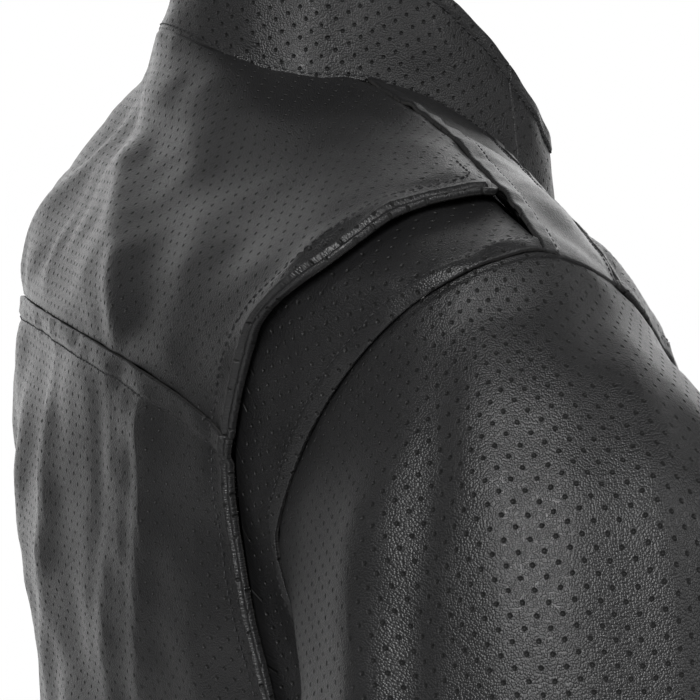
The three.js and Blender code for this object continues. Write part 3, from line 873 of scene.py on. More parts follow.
def grainyMaterial(name, colour, roughness, metallic, scale, height):
    # for thread, foam, metal and the floor: a fine speckle on object coordinates
    material, tree, shader = newMaterial(name)
    place = addNode(tree, "ShaderNodeTexCoord")
    noise = addNode(
        tree, "ShaderNodeTexNoise", Scale=scale, Detail=4.0, Vector=place.outputs["Object"]
    ).outputs[0]
    light = tuple(min(1, 1.35 * c + 0.002) for c in colour)
    tone = blendColours(tree, rampOf(tree, noise, 0.3, 0.7), colour, light)
    rough = calculate(tree, "MULTIPLY_ADD", noise, 0.2, roughness - 0.1)
    shader.inputs["Metallic"].default_value = metallic
    dress(tree, shader, tone, rough, noise, height)
    return material


perforated = leatherMaterial("perforatedLeather")
smoothHide = leatherMaterial("smoothLeather", holes=False, roughness=0.36, grainHeight=0.35)
hideBack = leatherMaterial(
    "leatherBack", roughness=0.8, grainHeight=1.0, colour=(0.03, 0.029, 0.028)
)
thread = grainyMaterial("blackThread", (0.012, 0.012, 0.013), 0.55, 0, 3000, 0.0001)
liningCloth = clothMaterial("liningCloth", (0.02, 0.02, 0.022), 0.85, 0.0011, 0.0003)
tapeCloth = clothMaterial("zipTape", (0.012, 0.012, 0.013), 0.8, 0.0009, 0.0002)
labelCloth = clothMaterial("labelCloth", (0.3, 0.3, 0.31), 0.6, 0.0005, 0.0001)
foam = grainyMaterial("padFoam", (0.035, 0.036, 0.038), 0.9, 0, 900, 0.0006)
darkMetal = grainyMaterial("darkMetal", (0.12, 0.12, 0.125), 0.32, 0.95, 500, 0.00003)
paleFloor = grainyMaterial("paleFloor", (0.66, 0.66, 0.66), 0.7, 0, 900, 0.0)
leatherSet = [perforated, hideBack, thread]
smoothSet = [smoothHide, hideBack, thread]
print("materials made")


# Pattern points into the imported frame, and the pieces that lie across a joint, which are only baked
# in place here with no body and no ramp.
def fromPattern(point):
    return tuple(toFrame(np.array(point, float)))


def bendWithFront(piece):
    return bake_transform(piece)


def bendWithShoulder(piece):
    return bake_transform(piece)


def bendWithElbow(piece):
    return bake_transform(piece)


# The back: yoke and lower panel.
yokeFolds = [
    {"points": [(-43, 3.6), (-49.5, 3.86), (-55.5, 4.1), (-62, 4.33), (-72, 4.5), (-82, 4.64)],
     "width": 5, "height": 2.4},
    {"points": [(-8, 5.2), (-13, 4.72), (-21, 4.3), (-24.5, 3.94), (-27, 3.8)],
     "width": 9, "height": 3.2},
    {"points": [(-22, 5.6), (-32, 4.96), (-36, 4.35), (-35, 3.95)], "width": 12, "height": 1.6},
    {"points": [(4, 4.9), (3, 4.4), (2, 3.92)], "width": 10, "height": 2.2},
    {"points": [(-26, 5.32), (-8, 5.36), (10, 5.34)], "width": 8, "height": 2.6},
    {"points": [(-18, 4.86), (-2, 4.8), (16, 4.82)], "width": 11, "height": 2.6},
]


def mirrored(folds):
    return [{**fold, "points": [(-a, b) for a, b in fold["points"]]} for fold in folds]


yokeFolds += mirrored(yokeFolds[:3])
yokeEdges = {
    "low": "plain",
    "high": "under",
    "first": [("bound", 0, 0.6), ("under", 0.6, 1)],
    "last": [("bound", 0, 0.6), ("under", 0.6, 1)],
}
yoke = leatherPanel(
    "back_yoke_leather", yokePlace, (430, 230), leatherSet, edges=yokeEdges, folds=yokeFolds
)
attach(yoke, "torso")
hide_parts("back_yoke")

backFolds = [
    {"points": [(9, 3.8), (6.5, 3.4), (7.5, 3), (12, 2.5), (14, 2.1), (12, 1.2)],
     "width": 11, "height": 2.4},
    {"points": [(-4.5, 3.85), (-6.5, 3.5), (-7.5, 3.1), (-3.5, 2.65), (1, 2.3), (2, 1.4)],
     "width": 10, "height": 3},
    {"points": [(-18.5, 3.85), (-20, 3.55), (-21, 3.15), (-19, 2.7), (-17, 2.2)],
     "width": 10, "height": 1.6},
    {"points": [(-23, 3.85), (-24.5, 3.56), (-25.5, 3.16), (-24.5, 2.8), (-22, 2.3), (-21, 1.6)],
     "width": 7, "height": 2.1},
    {"points": [(-26.5, 3.8), (-28, 3.58), (-28.5, 3.17), (-28, 2.8), (-26, 2.3)],
     "width": 5, "height": 1.2},
    {"points": [(-30.5, 3.85), (-32, 3.5), (-33, 3.1), (-32.5, 2.8), (-30, 2.3), (-31, 1.4)],
     "width": 7, "height": 2.2},
    {"points": [(-44, 3.2), (-45, 2.6), (-47, 1.9), (-52, 1.2)], "width": 16, "height": 3},
    {"points": [(-20, 1.4), (-40, 1.15), (-58, 1.3)], "width": 13, "height": 2.2},
    {"points": [(-8, 0.95), (-30, 0.75), (-54, 0.9)], "width": 15, "height": 2},
    {"points": [(4, 1.9), (24, 1.6), (46, 1.7)], "width": 15, "height": 2},
    {"points": [(20, 3.8), (24, 3.3), (27, 2.7), (25, 2)], "width": 12, "height": 2.2},
    {"points": [(34, 3.85), (36, 3.3), (40, 2.6), (47, 1.8)], "width": 12, "height": 2.4},
    {"points": [(12, 1.2), (34, 0.9), (55, 1.1)], "width": 13, "height": 2.2},
]
frontFolds = [
    {"points": [(130, 4.3), (136, 3.6), (138, 2.8), (134, 2)], "width": 15, "height": 3},
    {"points": [(146, 3.9), (143, 3.3), (138, 2.9)], "width": 10, "height": 2.2},
    {"points": [(126, 1.9), (138, 1.5), (147, 1.55)], "width": 12, "height": 2},
    {"points": [(154, 4.4), (157, 3.6), (156, 2.6), (158, 1.6)], "width": 11, "height": 2},
    {"points": [(165, 2.2), (158, 1.5), (151, 1.3)], "width": 11, "height": 1.8},
    {"points": [(124, 0.9), (136, 1.2), (150, 0.8)], "width": 13, "height": 1.8},
]
sideFolds = [
    {"points": [(70, 2.3), (86, 2), (104, 2.2)], "width": 12, "height": 2.6},
    {"points": [(66, 1.6), (84, 1.3), (108, 1.6)], "width": 13, "height": 3},
    {"points": [(92, 2.8), (99, 2), (96, 1.1)], "width": 14, "height": 2},
]
backEdges = {
    "low": "hem",
    "high": "banded",
    "first": [("topstitched", 0, 0.5), ("bound", 0.5, 1)],
    "last": [("topstitched", 0, 0.5), ("bound", 0.5, 1)],
}
backPanel = leatherPanel(
    "back_panel_leather", backPlace, (340, 560), leatherSet, edges=backEdges, folds=backFolds,
    cell=4.5,
)
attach(backPanel, "torso")
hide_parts("back_panel")
print("back made")

for side, name in sides:
    gusset = leatherPanel(
        f"pleat_gusset_{name}", gussetPlace(side), (70, 330), leatherSet, side=side,
        edges={"last": "topstitched"}, under=0.25, gap=0.03,
    )
    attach(gusset, "torso")
    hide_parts(f"gusset_{name}")

    sidePanel = leatherPanel(
        f"side_panel_leather_{name}", sidePlace(side), (230, 380), leatherSet, side=side,
        edges={"low": "hem", "high": "seam", "first": "topstitched", "last": "topstitched"},
        folds=sideFolds,
    )
    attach(sidePanel, "torso")
    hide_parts(f"side_panel_{name}")

    strip = leatherPanel(
        f"shoulder_strip_leather_{name}", stripPlace(side), (60, 180), smoothSet, side=side,
        edges={"first": "topstitched", "last": "seam", "low": "plain"}, cell=3,
    )
    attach(strip, "torso")
    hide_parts(f"shoulder_strip_{name}")

    frontSide = leatherPanel(
        f"front_side_leather_{name}", frontSidePlace(side), (110, 640), leatherSet, side=side,
        edges={"low": "hem", "first": "topstitched", "last": "seam"}, folds=frontFolds,
    )
    bendWithFront(frontSide)
    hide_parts(f"front_side_{name}")

    frontPanel = leatherPanel(
        f"front_panel_leather_{name}", frontPanelPlace(side), (75, 620), leatherSet, side=side,
        edges={"low": "hem", "first": "topstitched", "last": "seam"}, folds=frontFolds,
    )
    bendWithFront(frontPanel)
    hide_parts(f"front_panel_{name}")
print("body panels made")

collarBack = leatherPanel(
    "collar_back_leather", collarBackPlace, (330, 45), leatherSet,
    edges={"high": "topstitched", "low": "seam"}, thickness=collarSettings["thickness"], cell=3,
)
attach(collarBack, "torso")
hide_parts("collar_back")
for side, name in sides:
    collarFront = leatherPanel(
        f"collar_front_leather_{name}", collarFrontPlace(side), (45, 32), leatherSet, side=side,
        edges={"high": "topstitched", "low": "seam"}, thickness=collarSettings["thickness"], cell=3,
    )
    bendWithFront(collarFront)
    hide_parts(f"collar_front_{name}")
print("collar made")

# Sleeves.
headStart = 0.0
elbowTop, elbowFoot = 2, 3
cuffStart = 5
sleeveGap = 0.001
sleeveFolds = [
    {"points": [(24, 0.12), (25, 0.6), (27, 1), (28, 1.3), (30, 1.8)], "width": 11, "height": 3},
    {"points": [(5, 0.15), (8, 0.7), (10, 1.05), (12, 1.3), (14, 1.8)], "width": 12, "height": 3},
    {"points": [(37, 0.08), (40, 0.7), (49, 1.06), (55, 1.25), (62, 1.7)], "width": 7,
     "height": -3},
    {"points": [(60, 0.3), (62, 0.7), (70, 1.1), (78, 1.5)], "width": 15, "height": 3.5},
    {"points": [(-17, 0.12), (-10, 0.76), (-9, 1.1), (-11, 1.3), (-14, 1.8)], "width": 9,
     "height": 3},
    {"points": [(-60, 0.2), (-50, 0.8), (-45, 1.4)], "width": 14, "height": 3},
    {"points": [(105, 0.3), (100, 0.9), (108, 1.5)], "width": 12, "height": 3},
]
elbowFolds = [
    {"points": [(205, 2.2), (240, 2.42), (275, 2.46), (318, 2.2)], "width": 7, "height": 3.4},
    {"points": [(208, 2.85), (242, 2.62), (276, 2.66), (320, 2.85)], "width": 7, "height": 3.4},
    {"points": [(225, 1.75), (265, 1.88), (300, 1.7)], "width": 9, "height": 3},
    {"points": [(222, 3.1), (262, 3.14), (305, 3.4)], "width": 9, "height": 3},
    {"points": [(60, 3.3), (74, 3.8), (70, 4.4)], "width": 12, "height": 2},
    {"points": [(-40, 3.3), (-24, 3.9), (-30, 4.5)], "width": 12, "height": 2.2},
    {"points": [(20, 3.1), (14, 3.7), (24, 4.3), (18, 4.8)], "width": 12, "height": 2},
    {"points": [(250, 4.2), (290, 4.5), (320, 4.4)], "width": 8, "height": 1.8},
    {"points": [(90, 2.1), (60, 2.3), (30, 2.15)], "width": 10, "height": 2},
]
for fold in sleeveFolds + elbowFolds:
    fold["on"] = "sleeve"
seamTurns = {
    "top": (sleeveSettings["seamFront"] - 360, sleeveSettings["seamBack"]),
    "under": (sleeveSettings["seamBack"], sleeveSettings["seamFront"]),
}
for side, name in sides:
    for part, turns in seamTurns.items():
        width = 300 if part == "top" else 130
        upper = leatherPanel(
            f"upper_sleeve_{part}_{name}",
            sleevePart(side, *turns, headStart, elbowTop - sleeveGap),
            (width, 230), leatherSet, side=side, folds=sleeveFolds + elbowFolds,
            edges={"first": "topstitched", "last": "plain", "low": "under", "high": "seam"},
            gap=0.03,
        )
        bendWithShoulder(upper)
        nodes = {"top": ["sleeve_head", "sleeve_top"], "under": ["sleeve_under"]}[part]
        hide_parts(*[f"{node}_{name}" for node in nodes])
        lower = leatherPanel(
            f"forearm_sleeve_{part}_{name}",
            sleevePart(side, *turns, elbowFoot + sleeveGap, cuffStart - sleeveGap),
            (width * 0.72, 200), leatherSet, side=side, folds=elbowFolds,
            edges={"first": "topstitched", "last": "seam", "low": "seam", "high": "seam"},
        )
        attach(lower, f"forearm_{name}")
        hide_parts(f"forearm_{part}_{name}")
    fold = leatherPanel(
        f"elbow_fold_leather_{name}",
        sleevePart(side, 175, 535, elbowTop + sleeveGap, elbowFoot - sleeveGap),
        (370, 95), leatherSet, side=side, edges={"low": "seam", "high": "seam"},
        folds=elbowFolds,
    )
    bendWithElbow(fold)
    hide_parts(f"elbow_fold_{name}")
    cuff = leatherPanel(
        f"cuff_leather_{name}", sleevePart(side, 175, 535, cuffStart + sleeveGap, 6),
        (245, 26), smoothSet, side=side, thickness=3.5, cell=3,
        edges={"low": "seam", "high": "topstitched"},
    )
    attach(cuff, f"forearm_{name}")
    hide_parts(f"cuff_{name}")
print("sleeves made")

# Inside: linings, protectors, hanger loop and a blank label.
liningSettings = {"depth": 13, "thickness": 1.4, "low": 0.12, "high": 5.8, "shoulder": 1.92}
padSettings = {
    "depth": 3.8, "thickness": 7, "inset": 0.8, "shoulderInset": 1.9, "cell": 15, "groove": 1.6,
}
liningSet = [liningCloth, liningCloth, thread]
foamSet = [foam, foam, thread]


def liningRise(level):
    return smooth((level - 1.6) / 0.8) * (1 - smooth((level - 4.3) / 0.5))


def backLiningPlace(u, v, depth):
    level = mix(liningSettings["low"], liningSettings["high"], v)
    middle = np.where(level > liningSettings["shoulder"], 44, 60)
    edge = mix(88, middle, liningRise(level))
    return bodyPoint((2 * u - 1) * edge, level, depth + liningSettings["depth"])


def sideLiningPlace(side):
    def place(u, v, depth):
        level = mix(liningSettings["low"], liningSettings["high"], v)
        near = mix(90, 147, liningRise(level))
        angle = mix(near, foldAngle(level) - 1, u)
        return bodyPoint(side * angle, level, depth + liningSettings["depth"])

    return place


def frontLiningPlace(side):
    def place(u, v, depth):
        level = mix(liningSettings["low"], liningSettings["high"], v)
        angle = mix(foldAngle(level) + 1, edgeAngle(level, leatherEdge + 4), u)
        return bodyPoint(side * angle, level, depth + liningSettings["depth"] / 2)

    return place


softWaves = [(90, 0.8), (35, 0.4)]
backLining = leatherPanel(
    "back_lining_cloth", backLiningPlace, (420, 640), liningSet,
    thickness=liningSettings["thickness"], cell=8, wrinkles=softWaves,
)
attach(backLining, "torso")
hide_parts("back_lining")


def paddedShape(u, v, base):
    # square blocks with grooves between them
    size = np.linalg.norm(base[0, -1] - base[0, 0]), np.linalg.norm(base[-1, 0] - base[0, 0])
    blocks = [max(2, round(s / padSettings["cell"])) for s in size]
    across = np.abs(((u * blocks[0]) % 1) - 0.5) * 2
    along = np.abs(((v * blocks[1]) % 1) - 0.5) * 2
    groove = np.maximum(smooth((across - 0.72) / 0.2), smooth((along - 0.72) / 0.2))
    return 0.6 - padSettings["groove"] * groove


def addPad(name, place, size, follow, node, inset):
    depth = padSettings["depth"] + inset
    pad = leatherPanel(
        name, lambda u, v, d: place(u, v, d + depth), size, foamSet,
        thickness=padSettings["thickness"] - inset, cell=2.4, wrinkles=[], shape=paddedShape,
    )
    follow(pad)
    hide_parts(node)


def protectorPlace(u, v, depth):
    reach = mix(28, 36, smooth(v))
    return bodyPoint((2 * u - 1) * reach, mix(1.1, 3.6, v), depth)


addPad(
    "back_protector_foam", protectorPlace, (180, 270), lambda pad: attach(pad, "torso"),
    "back_protector", padSettings["inset"],
)

loopSettings = {"reach": 24, "low": 5.58, "high": 5.68, "bow": 7, "thickness": 1.2}


def loopPlace(u, v, depth):
    across = 2 * u - 1
    lift = liningSettings["depth"] + liningSettings["thickness"] + 0.6
    lift = lift + loopSettings["bow"] * (1 - across**2)
    level = mix(loopSettings["low"], loopSettings["high"], v)
    return bodyPoint(across * loopSettings["reach"], level, depth + lift)


def labelPlace(u, v, depth):
    lift = liningSettings["depth"] + liningSettings["thickness"] + 0.5
    return bodyPoint((2 * u - 1) * 21, mix(5.02, 5.32, v), depth + lift)


loop = leatherPanel(
    "hanger_loop_leather", loopPlace, (70, 7), smoothSet, thickness=loopSettings["thickness"],
    cell=1.5, wrinkles=[],
)
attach(loop, "torso")
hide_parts("hanger_loop")
label = leatherPanel(
    "blank_neck_label", labelPlace, (60, 24), [labelCloth, labelCloth, thread],
    edges={edge: "patch" for edge in ("low", "high", "first", "last")},
    thickness=0.9, cell=1.5, wrinkles=[(30, 0.15)],
)
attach(label, "torso")

for side, name in sides:
    sideLining = leatherPanel(
        f"side_lining_cloth_{name}", sideLiningPlace(side), (120, 560), liningSet, side=side,
        thickness=liningSettings["thickness"], cell=8, wrinkles=softWaves,
    )
    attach(sideLining, "torso")
    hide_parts(f"side_lining_{name}")
    frontLining = leatherPanel(
        f"front_lining_cloth_{name}", frontLiningPlace(side), (60, 560), liningSet, side=side,
        thickness=liningSettings["thickness"], cell=8, wrinkles=softWaves,
    )
    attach(frontLining, f"front_{name}")
    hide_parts(f"front_lining_{name}")

    spans = {"upper": (0.01, 1.985), "elbow": (2.01, 2.99), "forearm": (3.01, 4.96)}
    for part, (start, end) in spans.items():
        tube = sleevePart(side, 182, 538, start, end)
        sleeveLining = leatherPanel(
            f"{part}_sleeve_lining_{name}",
            lambda u, v, d, tube=tube: tube(u, v, d + liningSettings["depth"]),
            (330, 200), liningSet, side=side, thickness=1.2, cell=10, wrinkles=softWaves,
        )
        if part == "upper":
            bendWithShoulder(sleeveLining)
        elif part == "elbow":
            bendWithElbow(sleeveLining)
        else:
            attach(sleeveLining, f"forearm_{name}")

    addPad(
        f"shoulder_pad_foam_{name}", sleevePart(side, -48, 48, 1.12, 1.6), (120, 70),
        lambda pad: bendWithShoulder(pad), f"shoulder_pad_{name}",
        padSettings["shoulderInset"],
    )
    addPad(
        f"elbow_pad_foam_{name}", sleevePart(side, 48, 132, 3.08, 3.85), (85, 90),
        lambda pad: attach(pad, f"forearm_{name}"), f"elbow_pad_{name}",
        padSettings["inset"],
    )
print("inside made")


# Zips: one tooth is shaped and copied along each row.
def enterEdit(piece):
    bpy.ops.object.select_all(action="DESELECT")
    piece.select_set(True)
    bpy.context.view_layer.objects.active = piece
    bpy.ops.object.mode_set(mode="EDIT")


def pickFaces(piece, chosen):
    bpy.ops.mesh.select_mode(type="FACE")
    bpy.ops.mesh.select_all(action="DESELECT")
    shape = bmesh.from_edit_mesh(piece.data)
    for face in shape.faces:
        face.select_set(bool(chosen(face.normal, face.calc_center_median())))
    bmesh.update_edit_mesh(piece.data)


def startBlock(name, size):
    # a block in millimetres that is shaped at the origin and laid in its place afterwards
    bpy.ops.object.select_all(action="DESELECT")
    bpy.ops.mesh.primitive_cube_add(size=1)
    piece = bpy.context.object
    piece.name = name
    piece.data.name = name
    piece.scale = size
    bpy.ops.object.transform_apply(location=False, rotation=False, scale=True)
    enterEdit(piece)
    return piece


def finishBlock(piece, bevel, segments=2):
    bpy.ops.object.mode_set(mode="OBJECT")
    edge = piece.modifiers.new("roundedEdges", "BEVEL")
    edge.width = bevel
    edge.segments = segments
    edge.limit_method = "ANGLE"
    edge.angle_limit = math.radians(35)
    bpy.ops.object.modifier_apply(modifier=edge.name)
    bpy.ops.object.shade_smooth_by_angle(angle=math.radians(35))


toothSettings = {"pitch": 2.6, "width": 3, "length": 1.5, "height": 2.4}


def makeTooth():
    size = toothSettings
    tooth = startBlock("toothShape", (size["width"], size["length"], size["height"]))
    pickFaces(tooth, lambda normal, centre: normal.x < -0.9)
    bpy.ops.mesh.inset(thickness=0.35)
    bpy.ops.mesh.extrude_region_move(TRANSFORM_OT_translate={"value": (-0.5, 0, 0)})
    finishBlock(tooth, 0.18, 1)
    corners = np.array([corner.co[:] for corner in tooth.data.vertices])
    faces = [tuple(face.vertices) for face in tooth.data.polygons]
    bpy.data.objects.remove(tooth, do_unlink=True)
    return corners, faces


toothCorners, toothFaces = makeTooth()


def layTeeth(name, line, outs, inward, body, size=1.0, offset=0.0):
    # the teeth stand along a line; inward points from the tape to the teeth's tips
    lengths = np.concatenate([[0], np.cumsum(np.linalg.norm(np.diff(line, axis=0), axis=1))])
    pitch = toothSettings["pitch"] * size
    places = np.arange(pitch / 2 + offset, lengths[-1] - pitch / 2, pitch)
    spots = readAlong(places, lengths, line)
    ways = unit(readAlong(places, lengths, np.gradient(line, axis=0)))
    outward = readAlong(places, lengths, outs)
    across = unit(np.cross(ways, unit(outward)))
    hint = readAlong(places, lengths, inward)
    across *= np.where((across * hint).sum(-1) > 0, -1, 1)[:, None]
    ups = unit(np.cross(across, ways))
    ups *= np.where((ups * outward).sum(-1) > 0, 1, -1)[:, None]
    axes = np.stack([across, ways, ups], 1)
    turned = np.linalg.det(axes) < 0
    vertices = np.einsum("vk,nkc->nvc", toothCorners * size, axes) + spots[:, None]
    count = len(toothCorners)
    faces = []
    for k in range(len(places)):
        for face in toothFaces:
            order = face[::-1] if turned[k] else face
            faces.append(tuple(k * count + corner for corner in order))
    mesh = bpy.data.meshes.new(name)
    mesh.from_pydata(toFrame(vertices.reshape(-1, 3)).tolist(), [], faces)
    mesh.materials.append(darkMetal)
    mesh.update()
    piece = bpy.data.objects.new(name, mesh)
    bpy.context.scene.collection.objects.link(piece)
    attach(piece, body)
    return piece


def edgeStrip(side, near, far, low, high, lift):
    def place(u, v, depth):
        level = mix(low, high, v)
        angle = mix(edgeAngle(level, near), edgeAngle(level, far), u)
        return bodyPoint(side * angle, level, depth + lift)

    return place


def middleLine(place, u=0.5, depth=0.0, count=240):
    share = np.linspace(0, 1, count)

    def lineAt(across, down):
        return place(0 * share + across, share, 0 * share + down)

    line = lineAt(u, depth)
    outs = unit(lineAt(u, depth - 1) - line)
    inward = unit(lineAt(1, depth) - lineAt(0, depth))
    return line, outs, inward


for side, name in sides:
    tape = leatherPanel(
        f"zip_tape_cloth_{name}", edgeStrip(side, tapeEdge, leatherEdge, 0.12, 5.9, 0.6), (8, 620),
        [tapeCloth, tapeCloth, thread], side=side, thickness=1.2, cell=2, wrinkles=[(40, 0.1)],
        edges={"last": "tape"},
    )
    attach(tape, f"front_{name}")
    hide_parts(f"zip_tape_{name}")
    teethStrip = edgeStrip(side, teethEdge, teethEdge + zipSettings["teeth"], 0.16, 5.86, -0.3)
    line, outs, inward = middleLine(teethStrip, depth=zipSettings["teethHeight"] / 2)
    teeth = layTeeth(f"zip_teeth_row_{name}", line, outs, -inward, f"front_{name}")
    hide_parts(f"zip_teeth_{name}")
print("front zip made")

# Hand pockets and cuffs: each has a zip between two leather lips.
pocketSettings = {"low": (125, 0.5), "high": (138, 1.15), "width": 15, "lift": 2.5, "thickness": 2}
cuffZipSettings = {"turn": 84, "from": 4.3, "to": 5.93, "width": 15, "lift": 3}


def pocketPlace(side):
    reach = math.degrees(pocketSettings["width"] / 200) * 0.7

    def place(u, v, depth):
        angle = mix(pocketSettings["low"][0], pocketSettings["high"][0], v) + (u - 0.5) * reach
        level = mix(pocketSettings["low"][1], pocketSettings["high"][1], v)
        return bodyPoint(side * angle, level, depth - pocketSettings["lift"])

    return place


def cuffZipPlace(side):
    half = math.degrees(cuffZipSettings["width"] / 42) / 2
    tube = sleevePart(
        side, cuffZipSettings["turn"] - half, cuffZipSettings["turn"] + half,
        cuffZipSettings["from"], cuffZipSettings["to"],
    )
    return lambda u, v, depth: tube(u, v, depth - cuffZipSettings["lift"])


def lips(width):
    def shape(u, v, base):
        across = np.abs(u - 0.5) * width
        lip = 0.7 * np.exp(-(((across - 3.3) / 1.4) ** 2))
        return lip - 1.1 * (1 - smooth((across - 1.5) / 1.0))

    return shape


for side, name in sides:
    welts = {
        "pocket": (pocketPlace(side), 118, "torso", pocketSettings["width"]),
        "cuff": (cuffZipPlace(side), 95, f"forearm_{name}", cuffZipSettings["width"]),
    }
    for part, (place, length, carrier, width) in welts.items():
        welt = leatherPanel(
            f"{part}_zip_welt_{name}", place, (width, length), smoothSet, side=side,
            thickness=pocketSettings["thickness"], cell=0.9, wrinkles=[(30, 0.1)],
            shape=lips(width), edges={"first": "lip", "last": "lip"},
        )
        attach(welt, carrier)
        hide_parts(f"{part}_zip_{name}")
        line, outs, inward = middleLine(place, depth=0.35)
        for row, way in (("near", 1), ("far", -1)):
            shift = inward * way * 0.55
            layTeeth(
                f"{part}_teeth_{row}_{name}", (line - shift)[4:-4], outs[4:-4],
                inward[4:-4] * way, carrier, size=0.5, offset=0.65 if way > 0 else 0,
            )
print("pocket and cuff zips made")


# Sliders and pulls stand where their plain solids are.
def solidAxes(node, outHint, wayHint):
    corners = np.array([corner.co[:] for corner in bpy.data.objects[node].data.vertices])
    corners = np.unique(np.round(corners, 6), axis=0)
    centre = (corners.max(0) + corners.min(0)) / 2
    way = np.linalg.eigh(np.cov((corners - corners.mean(0)).T))[1]
    out, along = way[:, 0], way[:, 2]
    out = out * np.sign(out @ outHint)
    along = along * np.sign(along @ wayHint)
    return centre, np.cross(along, out), along, out


def layInPlace(piece, axes, node, carrier):
    centre, across, along, out = axes
    turn = Matrix(np.column_stack([across, along, out]).tolist()).to_4x4()
    piece.data.transform(Matrix.Translation(Vector(centre)) @ turn @ Matrix.Scale(0.001, 4))
    piece.data.materials.append(darkMetal)
    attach(piece, carrier)
    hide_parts(node)


sliderSettings = {
    "width": 8, "length": 11, "height": 2.2, "post": 2.2, "postSpan": (-2.6, -0.4),
    "postHalf": 1.1, "nose": 0.62,
}
pullSettings = {"width": 6, "length": 24, "thickness": 1.4, "rim": 1.2, "eyeEnd": -3.6}


def makeSlider(name):
    s = sliderSettings
    slider = startBlock(name, (s["width"], s["length"], s["height"]))
    low, high = s["postSpan"]
    half = s["postHalf"]
    for at, way in ((low, (0, 1, 0)), (high, (0, 1, 0)), (half, (1, 0, 0)), (-half, (1, 0, 0))):
        bpy.ops.mesh.select_all(action="SELECT")
        bpy.ops.mesh.bisect(plane_co=tuple(at * part for part in way), plane_no=way)
    pickFaces(slider, lambda normal, centre: normal.y > 0.9)
    bpy.ops.transform.resize(value=(s["nose"], 1, 0.8))
    pickFaces(
        slider,
        lambda normal, centre: normal.z > 0.9 and low < centre.y < high and abs(centre.x) < 1,
    )
    bpy.ops.mesh.extrude_region_move(TRANSFORM_OT_translate={"value": (0, 0, s["post"])})
    bpy.ops.mesh.extrude_region_move(TRANSFORM_OT_translate={"value": (0, 0, 0.25)})
    bpy.ops.transform.resize(value=(1.25, 1.25, 1))
    bpy.ops.mesh.extrude_region_move(TRANSFORM_OT_translate={"value": (0, 0, 0.4)})
    finishBlock(slider, 0.3)
    return slider


def makePull(name):
    s = pullSettings
    pull = startBlock(name, (s["width"], s["length"], s["thickness"]))
    bpy.ops.mesh.select_all(action="SELECT")
    bpy.ops.mesh.bisect(plane_co=(0, s["eyeEnd"], 0), plane_no=(0, 1, 0))
    pickFaces(pull, lambda normal, centre: abs(normal.z) > 0.9 and centre.y < s["eyeEnd"])
    bpy.ops.mesh.inset(thickness=s["rim"], use_boundary=True)
    bpy.ops.mesh.bridge_edge_loops()
    pickFaces(pull, lambda normal, centre: abs(normal.z) > 0.9 and centre.y > 0)
    bpy.ops.mesh.inset(thickness=0.9)
    for way in (1, -1):
        pickFaces(
            pull,
            lambda normal, centre, way=way: normal.z * way > 0.9
            and abs(centre.x) < 0.1 and 2 < centre.y < 6,
        )
        bpy.ops.transform.translate(value=(0, 0, -0.3 * way))
    finishBlock(pull, 0.22)
    return pull


def addSliderPair(kind, sliderBody, pullBody, outHint):
    parts = (makeSlider, "slider", sliderBody), (makePull, "pull", pullBody)
    sliderAt, pullAt = (
        solidAxes(f"{part}_{kind}", outHint, (0, 0, 1))[0] for make, part, carrier in parts
    )
    for make, part, carrier in parts:
        node = f"{part}_{kind}"
        axes = solidAxes(node, outHint, pullAt - sliderAt)
        layInPlace(make(f"{kind}_zip_{part}"), axes, node, carrier)


addSliderPair("main", "main_slider", "main_pull", (0, -1, 0))
for side, name in sides:
    addSliderPair(
        f"pocket_{name}", f"pocket_slider_{name}", f"pocket_pull_{name}", (side, -1, 0)
    )
    addSliderPair(f"cuff_{name}", f"cuff_slider_{name}", f"cuff_pull_{name}", (0, 1, -1))
print("sliders made")

# Waist tabs, each with a snap.
tabSettings = {
    "from": 70, "to": 104, "root": 65, "level": 0.36, "width": 28, "lift": 3.6, "snap": 6.5,
}


def tabPlace(side, first, last):
    def place(u, v, depth):
        level = tabSettings["level"] + (v - 0.5) * tabSettings["width"] / 185
        angle = mix(first, last, u)
        return bodyPoint(side * angle, level, depth - tabSettings["lift"])

    return place


def makeSnap(name, spot, out):
    bpy.ops.object.select_all(action="DESELECT")
    bpy.ops.mesh.primitive_cylinder_add(vertices=32, radius=tabSettings["snap"], depth=1.2)
    snap = bpy.context.object
    snap.name = name
    snap.data.name = name
    enterEdit(snap)
    pickFaces(snap, lambda normal, centre: normal.z > 0.9)
    bpy.ops.mesh.inset(thickness=1.1)
    bpy.ops.transform.translate(value=(0, 0, 0.5))
    bpy.ops.mesh.inset(thickness=1.6)
    bpy.ops.transform.translate(value=(0, 0, -0.35))
    finishBlock(snap, 0.2)
    turn = Vector(out).to_track_quat("Z", "Y").to_matrix().to_4x4()
    place = Matrix.Translation(Vector(fromPattern(spot)))
    snap.data.transform(place @ turn @ Matrix.Scale(0.001, 4))
    snap.data.materials.append(darkMetal)
    return snap


for side, name in sides:
    # the tab's sewn root stays on the side panel
    root = leatherPanel(
        f"waist_tab_root_{name}", tabPlace(side, tabSettings["root"], tabSettings["from"] - 0.3),
        (17, 28), smoothSet, side=side, thickness=3.4, cell=1.8, wrinkles=[(40, 0.15)],
        edges={"low": "tab", "high": "tab", "first": "tab"},
    )
    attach(root, "torso")
    place = tabPlace(side, tabSettings["from"], tabSettings["to"])
    tab = leatherPanel(
        f"waist_tab_leather_{name}", place, (118, 28), smoothSet, side=side, thickness=3, cell=1.8,
        wrinkles=[(40, 0.15)], edges={edge: "tab" for edge in ("low", "high", "first", "last")},
    )
    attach(tab, f"waist_tab_{name}")
    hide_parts(f"waist_tab_{name}")
    spot = place(np.array(0.86), np.array(0.5), np.array(-0.5))
    out = place(np.array(0.86), np.array(0.5), np.array(-2.0)) - spot
    snap = makeSnap(f"waist_tab_snap_{name}", spot, out)
    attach(snap, f"waist_tab_{name}")
print("tabs made")

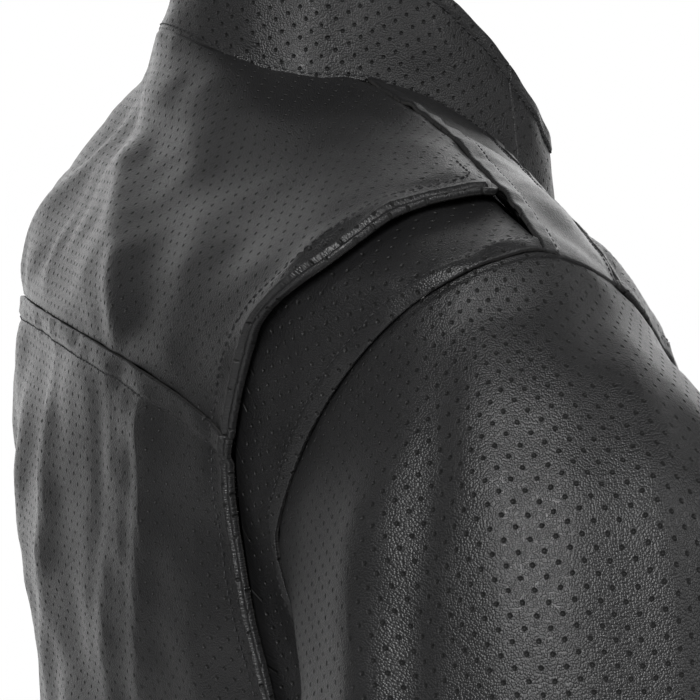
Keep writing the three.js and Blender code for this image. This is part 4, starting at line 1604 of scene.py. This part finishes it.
# Floor, lights and camera.
bpy.ops.mesh.primitive_cylinder_add(vertices=96, radius=1.4, depth=0.02, location=(0, 0, -0.011))
floor = bpy.context.object
floor.name = "floor"
floor.data.materials.append(paleFloor)

# A pale studio: a bright wall beyond the jacket, a dimmer room in front of it.
studioSettings = {
    "wallWay": (0.964, -0.24, -0.05), "turn": (0.55, 1.0), "room": 0.08, "wall": 2.2, "seen": 1.0,
}
world = bpy.data.worlds.new("studio")
bpy.context.scene.world = world
world.use_nodes = True
air = world.node_tree
ground = air.nodes["Background"]
ground.inputs["Color"].default_value = (1, 1, 1, 1)
wayOut = addNode(air, "ShaderNodeTexCoord").outputs["Generated"]
toWall = vectorNode(air, "DOT_PRODUCT", wayOut, studioSettings["wallWay"])
shade = rampOf(
    air, toWall, *studioSettings["turn"], studioSettings["room"], studioSettings["wall"]
)
ray = addNode(air, "ShaderNodeLightPath")
seen = ray.outputs["Is Camera Ray"]
hidden = calculate(air, "MULTIPLY", calculate(air, "SUBTRACT", 1.0, seen), shade)
strength = calculate(air, "MULTIPLY_ADD", seen, studioSettings["seen"], hidden)
air.links.new(strength, ground.inputs["Strength"])
bpy.context.scene.view_settings.view_transform = "Standard"


def softLight(name, place, target, size, power):
    data = bpy.data.lights.new(name, "AREA")
    data.shape = "RECTANGLE"
    data.size, data.size_y = size
    data.energy = power
    light = bpy.data.objects.new(name, data)
    bpy.context.scene.collection.objects.link(light)
    light.location = place
    way = Vector(target) - Vector(place)
    light.rotation_euler = way.to_track_quat("-Z", "Y").to_euler()


softLight("keyLight", (-2.05, 0.75, 1.75), (-0.2, 0, 0.48), (0.26, 1.5), 52)
softLight("frontLight", (-1.4, -1.75, 1.6), (-0.2, 0, 0.5), (0.6, 1.2), 16)
softLight("backLight", (0.3, 2.1, 1.7), (-0.1, 0, 0.55), (0.4, 1.2), 4)

cameraSettings = {
    "target": (-193.4, 40.5, 579.3),
    "azimuth": 256.1,
    "elevation": 6.68,
    "distance": 1104.5,
    "lens": 185,
}
azimuth = math.radians(cameraSettings["azimuth"])
elevation = math.radians(cameraSettings["elevation"])
back = Vector(
    (
        math.sin(azimuth) * math.cos(elevation),
        -math.cos(azimuth) * math.cos(elevation),
        math.sin(elevation),
    )
)
cameraData = bpy.data.cameras.new("camera")
cameraData.lens = cameraSettings["lens"]
cameraData.clip_start = 0.05
camera = bpy.data.objects.new("camera", cameraData)
bpy.context.scene.collection.objects.link(camera)
target = Vector(fromPattern(cameraSettings["target"]))
camera.location = target + back * cameraSettings["distance"] * 0.001
camera.rotation_euler = back.to_track_quat("Z", "Y").to_euler()
bpy.context.scene.camera = camera

bpy.context.view_layer.update()
print("scene finished")
